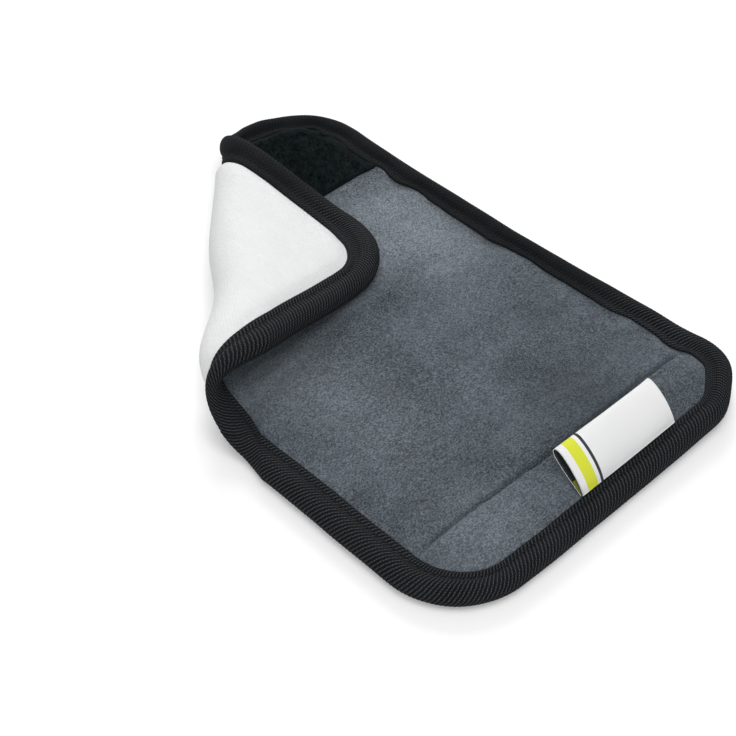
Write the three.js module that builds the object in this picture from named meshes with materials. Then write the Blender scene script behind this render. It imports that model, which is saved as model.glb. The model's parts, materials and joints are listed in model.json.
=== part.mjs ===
// Shoulder pad for a car seat belt, unwrapped and laid on its lining, with one corner folded over.
// Millimetres. X runs along the belt, Y is the way the pad wraps round it, +Z is up.
// The origin is the middle of the pad's underside, which lies on the floor, Z = 0.
import * as THREE from 'three';

// Overall size of the flat pad
const PAD_LENGTH = 188;
const PAD_WIDTH = 122;
const CORNER_RADIUS = 23;

// Layers, from the belt side up
const LINING_THICKNESS = 0.5;
const FOAM_THICKNESS = 2.7;
const FLEECE_THICKNESS = 1.4;
const FOAM_IN_BINDING = 0.6;
const FLEECE_IN_BINDING = 0.9;
const FOAM_STITCHED = 0.7;
const CLEARANCE = 0.3;

// Binding tape, folded round the edge and stitched through both faces
const EDGE_ROLL = 6.6;
const ROLL_WIDTH = 6;
const TAPE_THICKNESS = 0.8;
const TAPE_COVER = 8;
const EDGE_INSET = 2.2;
const SLOT_END_GAP = 0.45;

// Closure: hook tape under the near edge, loop tape on the fleece at the far edge
const HOOK_DEPTH = 25;
const HOOK_THICKNESS = 1.4;
const HOOK_STITCH = 23;
const STITCH_SPREAD = 3.5;
const LOOP_DEPTH = 47;
const LOOP_THICKNESS = 1.5;

// Folded corner: a bend of 180 degrees and more, whose axis lies across the corner
const FOLD_AXIS_DEG = 49.5;
const FOLD_FROM_TIP = 67.8;
const LEAD_RADIUS = 22;
const LEAD_DEG = 18;
const BEND_RADIUS = 7;
const SETTLE_RADIUS = 30;
const TIP_FLAT = 5;
const CORNER_SLIDE = 7;

// Woven label, a loop of ribbon caught in the binding of the near edge
const LABEL_WIDTH = 36.6;
const LABEL_CENTRE = 9.5;
const LABEL_REACH = 9.8;
const LABEL_RISE = 9;
const LABEL_BOW = 1.6;
const RIBBON_THICKNESS = 0.6;

// Fineness of the faceted surfaces
const FOLD_STEP = 5.2;
const PLAIN_STEP = 15;
const CORNER_STEPS = 5;
const LABEL_STEPS = 24;

// Values worked out from the driving dimensions
const HALF_WIDTH = PAD_WIDTH / 2;
const HALF_LENGTH = PAD_LENGTH / 2;
const CORNER_X = HALF_WIDTH - CORNER_RADIUS;
const CORNER_Y = HALF_LENGTH - CORNER_RADIUS;
const EDGE_MIDDLE = EDGE_ROLL / 2;
const LAYER_JOINTS = 2 * CLEARANCE;
const BOUND_STACK = LINING_THICKNESS + FOAM_IN_BINDING + FLEECE_IN_BINDING + LAYER_JOINTS;
const PAD_THICKNESS = LINING_THICKNESS + FOAM_THICKNESS + FLEECE_THICKNESS + LAYER_JOINTS;
const SLOT_HALF = BOUND_STACK / 2 + CLEARANCE;
const MOUTH = TAPE_COVER + CLEARANCE;
const HOOK_LIFT = HOOK_THICKNESS + CLEARANCE;
const FLAP_HEIGHT = PAD_THICKNESS + CLEARANCE + EDGE_MIDDLE;

const radians = THREE.MathUtils.degToRad;
const { clamp, lerp, smoothstep } = THREE.MathUtils;

// The fold's axis T and the direction S across it, toward the folded corner
const T = new THREE.Vector2(Math.cos(radians(FOLD_AXIS_DEG)), Math.sin(radians(FOLD_AXIS_DEG)));
const S = new THREE.Vector2(-T.y, T.x);
const TIP_S = -CORNER_X * S.x + CORNER_Y * S.y + CORNER_RADIUS;
const FOLD_START = TIP_S - FOLD_FROM_TIP;

// The fold's section as arcs and straights: each has a length and a radius, and a minus radius
// turns back down. The straight run ends where the settled tip begins.
function foldSections(droop) {
  const lead = { length: LEAD_RADIUS * radians(LEAD_DEG), radius: LEAD_RADIUS };
  const turn = Math.PI + droop - 2 * radians(LEAD_DEG);
  const bend = { length: BEND_RADIUS * turn, radius: BEND_RADIUS };
  const settle = { length: SETTLE_RADIUS * droop, radius: -SETTLE_RADIUS };
  const run = FOLD_FROM_TIP - TIP_FLAT - 2 * lead.length - bend.length - settle.length;
  return [lead, bend, { ...lead }, { length: Math.max(run, 0), radius: Infinity }, settle];
}

// Where each section starts: distance along the sheet, place, height and angle
function foldKnots(droop) {
  let knot = { s: FOLD_START, across: FOLD_START, height: EDGE_MIDDLE, angle: 0 };
  const knots = [];
  for (const { length, radius } of foldSections(droop)) {
    knots.push({ ...knot, radius });
    knot = along({ ...knot, radius }, length);
  }
  knots.push({ ...knot, radius: Infinity });
  return knots;
}

// A point of the section, a distance along it from a knot
function along(knot, distance) {
  const { s, across, height, angle, radius } = knot;
  if (!Number.isFinite(radius)) {
    return {
      s: s + distance,
      across: across + distance * Math.cos(angle),
      height: height + distance * Math.sin(angle),
      angle,
    };
  }
  const end = angle + distance / radius;
  return {
    s: s + distance,
    across: across + radius * (Math.sin(end) - Math.sin(angle)),
    height: height + radius * (Math.cos(angle) - Math.cos(end)),
    angle: end,
  };
}

// The flap droops until its tip lies on the pad
function findDroop() {
  let low = 0;
  let high = radians(60);
  for (let pass = 0; pass < 40; pass += 1) {
    const middle = (low + high) / 2;
    const tip = foldKnots(middle).at(-1);
    if (tip.height > FLAP_HEIGHT) low = middle;
    else high = middle;
  }
  return low;
}

const KNOTS = foldKnots(findDroop());
const FOLD_END = KNOTS[3].s;

// Bends a point of the flat pad: x and y in the pad's plane, z above the floor
function folded(x, y, z) {
  const s = x * S.x + y * S.y;
  const t = x * T.x + y * T.y;
  if (s <= FOLD_START) return new THREE.Vector3(x, y, z);
  const knot = KNOTS.findLast((one) => one.s <= s);
  const { across, height, angle } = along(knot, s - knot.s);
  const offset = z - EDGE_MIDDLE;
  const place = across - offset * Math.sin(angle);
  const slid = t - CORNER_SLIDE * smoothstep(s, FOLD_START, FOLD_END);
  return new THREE.Vector3(
    place * S.x + slid * T.x,
    place * S.y + slid * T.y,
    height + offset * Math.cos(angle),
  );
}

// A closed mesh, turned to face out
function closedGeometry(points, triangles) {
  let volume = 0;
  for (const [a, b, c] of triangles) {
    volume += points[a].dot(new THREE.Vector3().crossVectors(points[b], points[c]));
  }
  const index = triangles.flatMap(([a, b, c]) => (volume < 0 ? [a, c, b] : [a, b, c]));
  const geometry = new THREE.BufferGeometry().setFromPoints(points);
  geometry.setIndex(index);
  geometry.computeVertexNormals();
  return geometry;
}

// Evenly spaced values from one to the other, both included
function spread(from, to, step) {
  const count = Math.max(1, Math.round(Math.abs(to - from) / step));
  return Array.from({ length: count + 1 }, (_, i) => lerp(from, to, i / count));
}

// Sorted values with the wanted ones kept and any neighbour that crowds them dropped
function withLines(values, wanted, room) {
  const kept = values.filter((v, i) => {
    const end = i === 0 || i === values.length - 1;
    return end || wanted.every((w) => Math.abs(v - w) > room);
  });
  return [...kept, ...wanted].sort((a, b) => a - b);
}

// Grid lines of the pad's middle. Those near the fold have one pitch both ways, so that their
// crossings lie on lines along the fold's axis.
const LINES_X = spread(-CORNER_X, CORNER_X, FOLD_STEP);
const PITCH = LINES_X[1] - LINES_X[0];
const FOLD_LOW_Y = Math.max((FOLD_START + CORNER_X * S.x) / S.y, -CORNER_Y);
const FINE_ROWS = Math.ceil((CORNER_Y - FOLD_LOW_Y) / PITCH);
const FINE_LOW_Y = Math.max(CORNER_Y - FINE_ROWS * PITCH, -CORNER_Y);
const HOOK_ROWS_TOP = Math.min(-HALF_LENGTH + HOOK_DEPTH + 3 * FOLD_STEP, FINE_LOW_Y);
const LOOP_LINE = HALF_LENGTH - LOOP_DEPTH;
const SEAM_LINES = [HOOK_STITCH - STITCH_SPREAD, HOOK_STITCH, HOOK_STITCH + STITCH_SPREAD];
const ROW_LINES = SEAM_LINES.filter((d) => d > CORNER_RADIUS + 1).map((d) => d - HALF_LENGTH);
const LINES_Y = withLines(
  [
    ...spread(-CORNER_Y, HOOK_ROWS_TOP, FOLD_STEP),
    ...spread(HOOK_ROWS_TOP, FINE_LOW_Y, PLAIN_STEP).slice(1),
    ...spread(FINE_LOW_Y, CORNER_Y, PITCH).slice(1),
  ],
  [...ROW_LINES, LOOP_LINE],
  1.5,
);

// Distances from the pad's edge at which its border is divided
const RING_SEAMS = SEAM_LINES.filter((d) => d < CORNER_RADIUS - 1 && d > MOUTH + 2);
const RINGS = [
  EDGE_INSET,
  (EDGE_INSET + MOUTH) / 2,
  MOUTH,
  (MOUTH + Math.min(RING_SEAMS[0] ?? CORNER_RADIUS, CORNER_RADIUS)) / 2,
  ...RING_SEAMS,
  CORNER_RADIUS,
];

// Stations round the pad's edge, anticlockwise from the right end of the near edge.
// Each gives the plan point at a distance d inside the edge.
function cornerStations(signX, signY, startDeg) {
  const steps = Array.from({ length: CORNER_STEPS }, (_, i) => i / CORNER_STEPS);
  return steps.map((share) => {
    const angle = radians(startDeg + 90 * share);
    return (d) => {
      const radius = CORNER_RADIUS - d;
      return [
        signX * CORNER_X + radius * Math.cos(angle),
        signY * CORNER_Y + radius * Math.sin(angle),
      ];
    };
  });
}

const STATIONS = [
  ...cornerStations(1, -1, -90),
  ...LINES_Y.slice(0, -1).map((y) => (d) => [HALF_WIDTH - d, y]),
  ...cornerStations(1, 1, 0),
  ...LINES_X.toReversed().slice(0, -1).map((x) => (d) => [x, HALF_LENGTH - d]),
  ...cornerStations(-1, 1, 90),
  ...LINES_Y.toReversed().slice(0, -1).map((y) => (d) => [d - HALF_WIDTH, y]),
  ...cornerStations(-1, -1, 180),
  ...LINES_X.slice(0, -1).map((x) => (d) => [x, d - HALF_LENGTH]),
];

// Distance of a plan point from the pad's edge
function edgeDistance(x, y) {
  const outX = Math.abs(x) - CORNER_X;
  const outY = Math.abs(y) - CORNER_Y;
  if (outX > 0 && outY > 0) return CORNER_RADIUS - Math.hypot(outX, outY);
  return CORNER_RADIUS - Math.max(outX, outY);
}

// The pad's plan as cells: border cells between rings and stations, then the middle's grid
function planCells() {
  const plan = { points: [], cells: [], keys: new Map() };
  const vertex = ([x, y]) => {
    const key = `${Math.round(x * 1000)},${Math.round(y * 1000)}`;
    if (!plan.keys.has(key)) {
      plan.keys.set(key, plan.points.length);
      plan.points.push([x, y]);
    }
    return plan.keys.get(key);
  };
  for (let ring = 0; ring + 1 < RINGS.length; ring += 1) {
    for (const [k, station] of STATIONS.entries()) {
      const next = STATIONS[(k + 1) % STATIONS.length];
      const corners = [
        station(RINGS[ring]),
        next(RINGS[ring]),
        next(RINGS[ring + 1]),
        station(RINGS[ring + 1]),
      ];
      plan.cells.push({ ring, corners: corners.map(vertex) });
    }
  }
  for (let i = 0; i + 1 < LINES_X.length; i += 1) {
    for (let j = 0; j + 1 < LINES_Y.length; j += 1) {
      const [x0, x1] = [LINES_X[i], LINES_X[i + 1]];
      const [y0, y1] = [LINES_Y[j], LINES_Y[j + 1]];
      const corners = [[x0, y0], [x1, y0], [x1, y1], [x0, y1]];
      plan.cells.push({ ring: RINGS.length, corners: corners.map(vertex) });
    }
  }
  return plan;
}

const PLAN = planCells();

// Splits a four-cornered face along the diagonal that lies closer to the fold's axis
function splitFace(corners, planPoint) {
  const unique = corners.filter((v, i) => v !== corners[(i + 1) % corners.length]);
  if (unique.length === 3) return [unique];
  const [a, b, c, d] = unique;
  const off = (from, to) => {
    const [start, end] = [planPoint(from), planPoint(to)];
    const [dx, dy] = [end[0] - start[0], end[1] - start[1]];
    return Math.abs(dx * S.x + dy * S.y) / Math.hypot(dx, dy);
  };
  return off(a, c) < off(b, d) ? [[a, b, c], [a, c, d]] : [[a, b, d], [b, c, d]];
}

// A layer of the pad: the chosen cells between two height functions, bent with the fold
function layerGeometry(belongs, bottom, top) {
  const chosen = PLAN.cells.filter((cell) => {
    const middle = [0, 1].map((axis) => {
      const sum = cell.corners.reduce((total, v) => total + PLAN.points[v][axis], 0);
      return sum / cell.corners.length;
    });
    return belongs(cell.ring, ...middle);
  });
  const faces = chosen.flatMap((cell) => splitFace(cell.corners, (v) => PLAN.points[v]));
  const used = [...new Set(faces.flat())];
  const place = new Map(used.map((v, i) => [v, i]));
  const points = [bottom, top].flatMap((height) =>
    used.map((v) => {
      const [x, y] = PLAN.points[v];
      return folded(x, y, height(x, y));
    }),
  );
  const lower = faces.map(([a, b, c]) => [place.get(a), place.get(c), place.get(b)]);
  const upper = faces.map((face) => face.map((v) => place.get(v) + used.length));
  const rim = boundaryEdges(faces).flatMap(([a, b]) => {
    const [low, next] = [place.get(a), place.get(b)];
    const [high, nextHigh] = [low + used.length, next + used.length];
    return [[low, next, nextHigh], [low, nextHigh, high]];
  });
  return closedGeometry(points, [...lower, ...upper, ...rim]);
}

// Edges that only one triangle has, in that triangle's direction
function boundaryEdges(faces) {
  const edges = new Map();
  for (const [a, b, c] of faces) {
    for (const [from, to] of [[a, b], [b, c], [c, a]]) edges.set(`${from},${to}`, [from, to]);
  }
  return [...edges.values()].filter(([from, to]) => !edges.has(`${to},${from}`));
}

// How far a place has swelled from the flat edge in the binding, 0, to the full pad, 1
function swell(x, y) {
  const share = clamp((edgeDistance(x, y) - MOUTH) / (CORNER_RADIUS - MOUTH), 0, 1);
  return 1 - (1 - share) ** 2;
}

// How much a place lies over the hook tape, from 1 over it to 0 a little way past it
function overHook(y) {
  const past = y + HALF_LENGTH - HOOK_DEPTH - FOLD_STEP;
  return 1 - clamp(past / (1.5 * FOLD_STEP), 0, 1);
}

// How much a place lies on the stitch line that holds the hook tape
function onStitch(y) {
  return clamp(1 - Math.abs(y + HALF_LENGTH - HOOK_STITCH) / STITCH_SPREAD, 0, 1);
}

// Heights of the layers above the floor, each standing on the one below
function liningBottom(x, y) {
  const inBinding = EDGE_MIDDLE - BOUND_STACK / 2;
  return Math.max(inBinding * (1 - swell(x, y)), HOOK_LIFT * overHook(y));
}
const liningTop = (x, y) => liningBottom(x, y) + LINING_THICKNESS;
const foamBottom = (x, y) => liningTop(x, y) + CLEARANCE;
function foamTop(x, y) {
  const free = lerp(FOAM_THICKNESS, FOAM_STITCHED, onStitch(y));
  return foamBottom(x, y) + lerp(FOAM_IN_BINDING, free, swell(x, y));
}
const fleeceBottom = (x, y) => foamTop(x, y) + CLEARANCE;
function fleeceTop(x, y) {
  return fleeceBottom(x, y) + lerp(FLEECE_IN_BINDING, FLEECE_THICKNESS, swell(x, y));
}
const loopBottom = (x, y) => fleeceTop(x, y) + CLEARANCE;
const loopTop = (x, y) => loopBottom(x, y) + LOOP_THICKNESS;

// Section of the binding: a round roll over the edge, a stitched groove and a flat lip on each
// face, and the slot that grips the layers. First value inward from the edge, second up.
function bindingSection() {
  const seam = SLOT_HALF + TAPE_THICKNESS;
  const halfRoll = ROLL_WIDTH / 2;
  const roll = [135, 90, 50].map((degrees) => {
    const angle = radians(degrees);
    const rise = EDGE_MIDDLE * Math.sin(angle);
    return [halfRoll + halfRoll * Math.cos(angle), degrees < 90 ? Math.max(rise, seam) : rise];
  });
  const face = [...roll, [ROLL_WIDTH + TAPE_THICKNESS, seam], [TAPE_COVER, seam]];
  const back = EDGE_INSET - SLOT_END_GAP;
  const slot = [
    [TAPE_COVER, SLOT_HALF],
    [(EDGE_INSET + MOUTH) / 2, SLOT_HALF],
    [back, SLOT_HALF],
  ];
  const mirrored = (half) => half.toReversed().map(([d, rise]) => [d, -rise]);
  return [[0, 0], ...face, ...slot, ...mirrored(slot), ...mirrored(face)];
}

// The binding: its section carried round the pad's edge and bent with the fold
function bindingGeometry() {
  const section = bindingSection();
  const points = STATIONS.flatMap((station) =>
    section.map(([d, rise]) => folded(...station(d), EDGE_MIDDLE + rise)),
  );
  const planPoint = (v) => {
    const [d] = section[v % section.length];
    return STATIONS[Math.floor(v / section.length)](d);
  };
  const triangles = STATIONS.flatMap((_, k) => {
    const start = k * section.length;
    const next = ((k + 1) % STATIONS.length) * section.length;
    return section.flatMap((__, i) => {
      const j = (i + 1) % section.length;
      return splitFace([start + i, next + i, next + j, start + j], planPoint);
    });
  });
  return closedGeometry(points, triangles);
}

// The hook tape: a flat strip that follows the round of the binding, straight on its inner side
function hookGeometry() {
  const round = CORNER_RADIUS - MOUTH;
  const far = HOOK_DEPTH - HALF_LENGTH;
  const cut = Math.asin(clamp((-CORNER_Y - far) / round, 0, 1));
  const outline = new THREE.Shape();
  if (far > -CORNER_Y) outline.moveTo(-CORNER_X - round, far);
  outline.absarc(-CORNER_X, -CORNER_Y, round, Math.PI + cut, 1.5 * Math.PI, false);
  outline.absarc(CORNER_X, -CORNER_Y, round, 1.5 * Math.PI, 2 * Math.PI - cut, false);
  if (far > -CORNER_Y) outline.lineTo(CORNER_X + round, far);
  outline.closePath();
  return new THREE.ExtrudeGeometry(outline, {
    depth: HOOK_THICKNESS,
    bevelEnabled: false,
    curveSegments: CORNER_STEPS,
  });
}

// The label: a ribbon that leaves the binding, turns over at its crest and comes back. Its path
// is drawn on the chord from seam to crest: the share of the chord, and how far the ply bows off it.
function labelGeometry() {
  const seamY = MOUTH + CLEARANCE - HALF_LENGTH;
  const pliesApart = (CLEARANCE + RIBBON_THICKNESS) / 2;
  const seamZ = fleeceTop(LABEL_CENTRE, seamY) + CLEARANCE + RIBBON_THICKNESS / 2 + pliesApart;
  const seam = new THREE.Vector2(seamY, seamZ);
  const chord = new THREE.Vector2(LABEL_REACH, LABEL_RISE);
  const out = new THREE.Vector2(-chord.y, chord.x).normalize();
  const bows = [
    [0, -pliesApart],
    [0.33, -0.4 * LABEL_BOW],
    [0.67, -0.6 * LABEL_BOW],
    [0.94, -0.5 * LABEL_BOW],
    [1, 0],
    [0.94, 0.5 * LABEL_BOW],
    [0.67, LABEL_BOW],
    [0.33, 0.9 * LABEL_BOW],
    [0, pliesApart],
  ];
  const path = new THREE.SplineCurve(
    bows.map(([share, bow]) =>
      seam.clone().addScaledVector(chord, share).addScaledVector(out, bow),
    ),
  );
  const spine = path.getPoints(LABEL_STEPS);
  const side = (sign) =>
    spine.map((point, i) => {
      const tangent = path.getTangent(i / LABEL_STEPS);
      const normal = new THREE.Vector2(-tangent.y, tangent.x);
      return point.clone().addScaledVector(normal, (sign * RIBBON_THICKNESS) / 2);
    });
  const outline = new THREE.Shape([...side(1), ...side(-1).reverse()]);
  const geometry = new THREE.ExtrudeGeometry(outline, { depth: LABEL_WIDTH, bevelEnabled: false });
  geometry.rotateX(Math.PI / 2);
  geometry.rotateZ(Math.PI / 2);
  geometry.translate(LABEL_CENTRE - LABEL_WIDTH / 2, 0, 0);
  return geometry;
}

// Colours and finishes of the pieces
const FINISHES = {
  fleece: { color: 0x5d666f, roughness: 0.95, metalness: 0 },
  lining: { color: 0xececec, roughness: 0.8, metalness: 0 },
  foam: { color: 0xe6e2d6, roughness: 0.9, metalness: 0 },
  tape: { color: 0x242628, roughness: 0.85, metalness: 0 },
  loop: { color: 0x131719, roughness: 1, metalness: 0 },
  hook: { color: 0x1b1d1f, roughness: 0.6, metalness: 0 },
  ribbon: { color: 0xf2f2f0, roughness: 0.7, metalness: 0 },
};

function piece(name, geometry, finish) {
  const mesh = new THREE.Mesh(geometry, new THREE.MeshStandardMaterial(FINISHES[finish]));
  mesh.name = name;
  return mesh;
}

const wholePad = () => true;
const loopCells = (ring, x, y) => ring >= 2 && y > LOOP_LINE;

const pad = new THREE.Group();
pad.name = 'seat_belt_shoulder_pad';
pad.add(
  piece('back_lining', layerGeometry(wholePad, liningBottom, liningTop), 'lining'),
  piece('foam_padding', layerGeometry(wholePad, foamBottom, foamTop), 'foam'),
  piece('front_cover', layerGeometry(wholePad, fleeceBottom, fleeceTop), 'fleece'),
  piece('edge_binding', bindingGeometry(), 'tape'),
  piece('loop_strip', layerGeometry(loopCells, loopBottom, loopTop), 'loop'),
  piece('hook_strip', hookGeometry(), 'hook'),
  piece('fold_label', labelGeometry(), 'ribbon'),
);

export default pad;
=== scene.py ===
"""Looks of a seat belt shoulder pad: fleece face, white lining, twill binding, closure tapes and label.

Every piece is drawn on the flat pad, in metres, and then bent with the folded corner.
X runs along the belt, Y the way the pad wraps round it, +Z is up out of the fleece.
"""
import json
import logging
import math
from dataclasses import dataclass
from enum import Enum, IntEnum
from typing import Callable

import bpy
import numpy as np
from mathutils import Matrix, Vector

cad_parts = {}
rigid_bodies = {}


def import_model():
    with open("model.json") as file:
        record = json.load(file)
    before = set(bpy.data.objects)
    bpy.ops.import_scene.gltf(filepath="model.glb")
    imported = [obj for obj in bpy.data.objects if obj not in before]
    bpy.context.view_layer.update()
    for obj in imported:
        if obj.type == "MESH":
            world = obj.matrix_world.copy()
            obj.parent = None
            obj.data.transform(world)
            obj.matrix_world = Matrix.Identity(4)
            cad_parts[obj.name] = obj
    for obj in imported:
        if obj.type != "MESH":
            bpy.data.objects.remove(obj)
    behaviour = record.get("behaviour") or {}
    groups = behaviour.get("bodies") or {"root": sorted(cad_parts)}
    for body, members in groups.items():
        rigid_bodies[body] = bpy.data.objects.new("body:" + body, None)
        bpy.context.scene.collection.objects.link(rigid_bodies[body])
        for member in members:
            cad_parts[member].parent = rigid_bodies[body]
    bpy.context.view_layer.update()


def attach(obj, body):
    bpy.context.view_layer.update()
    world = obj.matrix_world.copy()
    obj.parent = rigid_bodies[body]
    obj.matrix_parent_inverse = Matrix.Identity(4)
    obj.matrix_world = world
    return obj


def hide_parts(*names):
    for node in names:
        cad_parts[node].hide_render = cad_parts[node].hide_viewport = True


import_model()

MM = 0.001
BODY = "root"
FLAT = "flat"
TINY = 1e-9
WEFT_RATIO = 0.8
LOG = logging.getLogger("shoulder_pad")

Array = np.ndarray
Height = Callable[[Array, Array], Array]
Keep = Callable[[Array, Array], Array]
Bend = Callable[[Array], Array]
Span = tuple[float, float]
Point = tuple[float, float, float]
Colour = tuple[float, float, float, float]
Piece = bpy.types.Object
Material = bpy.types.Material
Tree = bpy.types.NodeTree
Node = bpy.types.Node
Socket = bpy.types.NodeSocket


class Seed(IntEnum):
    """Seeds of the random draws, one for each use."""

    SWELL = 5
    BROAD = 11
    SMALL = 12
    GATHER = 13
    WANDER = 14
    LOOPS = 21
    LABEL = 31
    FIBRES = 47
    FIBRE_PATCHES = 48


def srgb(red: int, green: int, blue: int) -> Colour:
    """A colour as it looks on a screen, turned into the linear colour that a shader takes.

    Args:
        red, green, blue: the colour's parts, 0 to 255.

    Returns:
        The linear colour, opaque.
    """
    parts = [value / 255 for value in (red, green, blue)]
    linear = [p / 12.92 if p <= 0.04045 else ((p + 0.055) / 1.055) ** 2.4 for p in parts]
    return (*linear, 1.0)


def ramp(value: Array, low: float, high: float) -> Array:
    """Smooth step from 0 at low to 1 at high.

    Args:
        value: the numbers to place between low and high.
        low: where the step starts.
        high: where the step ends.

    Returns:
        The eased share, between 0 and 1.
    """
    share = np.clip((value - low) / (high - low), 0, 1)
    return share * share * (3 - 2 * share)


class SoftNoise:
    """Smooth seeded noise over the flat pad, between -1 and 1."""

    CELLS = 64

    def __init__(self, seed: Seed, cell: float) -> None:
        """Draws the lattice.

        Args:
            seed: the random seed.
            cell: size of one cell, in metres.
        """
        self.cell = cell
        self.lattice = np.random.default_rng(seed).uniform(-1, 1, (self.CELLS, self.CELLS))

    def at(self, x: Array, y: Array) -> Array:
        """The noise at places of the plan.

        Args:
            x, y: the places.

        Returns:
            The noise at each of them.
        """
        u = np.asarray(x) / self.cell + self.CELLS / 2
        v = np.asarray(y) / self.cell + self.CELLS / 2
        i, j = np.floor(u).astype(int), np.floor(v).astype(int)
        s, t = ramp(u - i, 0, 1), ramp(v - j, 0, 1)
        pick = lambda a, b: self.lattice[(i + a) % self.CELLS, (j + b) % self.CELLS]
        low = pick(0, 0) * (1 - s) + pick(1, 0) * s
        high = pick(0, 1) * (1 - s) + pick(1, 1) * s
        return low * (1 - t) + high * t


class Side(Enum):
    """The pad's four edges, by the outward direction of each."""

    NEAR = (0, -1)
    RIGHT = (1, 0)
    FAR = (0, 1)
    LEFT = (-1, 0)


@dataclass(frozen=True)
class PadPlan:
    """Outline of the flat pad: a rectangle with round corners."""

    length: float = 188 * MM
    width: float = 122 * MM
    corner_radius: float = 23 * MM

    @property
    def corner_x(self) -> float:
        """Distance of the corners' centres from the middle, along X."""
        return self.width / 2 - self.corner_radius

    @property
    def corner_y(self) -> float:
        """Distance of the corners' centres from the middle, along Y."""
        return self.length / 2 - self.corner_radius

    @property
    def perimeter(self) -> float:
        """Length of the outline."""
        return 4 * (self.corner_x + self.corner_y) + 2 * math.pi * self.corner_radius

    def outline(self, u: Array) -> tuple[Array, Array]:
        """Walks the outline anticlockwise, from the right end of the near edge.

        Args:
            u: distances along the outline; they may run past its length.

        Returns:
            The points and the outward normals, each with two columns.
        """
        u = np.asarray(u) % self.perimeter
        quarter = math.pi / 2 * self.corner_radius
        centres = [(1, -1), (1, 1), (-1, 1), (-1, -1)]
        spans = [2 * self.corner_y, 2 * self.corner_x, 2 * self.corner_y, 2 * self.corner_x]
        points, normals = np.zeros((*u.shape, 2)), np.zeros((*u.shape, 2))
        start = 0.0
        for k, (sign, span) in enumerate(zip(centres, spans)):
            centre = np.array([sign[0] * self.corner_x, sign[1] * self.corner_y])
            share = np.clip((u - start) / quarter, 0, 1)
            angle = math.pi / 2 * (k - 1 + share)
            out = np.stack([np.cos(angle), np.sin(angle)], -1)
            along = np.stack([-np.sin(angle), np.cos(angle)], -1)
            run = np.clip(u - start - quarter, 0, span)[..., None]
            inside = (u >= start)[..., None]
            points = np.where(inside, centre + self.corner_radius * out + along * run, points)
            normals = np.where(inside, out, normals)
            start += quarter + span
        return points, normals

    def rim(self, u: Array, inset: Array) -> Array:
        """Plan points at distances u along the outline and inset inside it."""
        points, normals = self.outline(u)
        return points - normals * np.asarray(inset)[..., None]

    def inset(self, x: Array, y: Array) -> Array:
        """Distance of plan points from the pad's edge.

        Args:
            x, y: the points.

        Returns:
            Their distances, which are positive inside the outline.
        """
        out_x, out_y = np.abs(x) - self.corner_x, np.abs(y) - self.corner_y
        round_part = np.hypot(np.maximum(out_x, 0), np.maximum(out_y, 0))
        straight = np.maximum(out_x, out_y)
        corner = (out_x > 0) & (out_y > 0)
        return self.corner_radius - np.where(corner, round_part, straight)

    def facing(self, x: Array, y: Array) -> Array:
        """Outward normals of the edge that lies nearest to plan points.

        Args:
            x, y: the points.

        Returns:
            One normal for each point.
        """
        out_x, out_y = np.abs(x) - self.corner_x, np.abs(y) - self.corner_y
        corner = (out_x > 0) & (out_y > 0)
        side = out_x > out_y
        nx = np.where(corner, out_x, side.astype(float))
        ny = np.where(corner, out_y, (~side).astype(float))
        length = np.maximum(np.hypot(nx, ny), TINY)
        return np.stack([np.sign(x) * nx / length, np.sign(y) * ny / length], -1)


@dataclass(frozen=True)
class Tug:
    """A soft tug on the flat cloth: where it acts, how far it pulls and how wide it reaches."""

    x: float
    y: float
    pull_x: float
    pull_y: float
    reach: float


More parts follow.
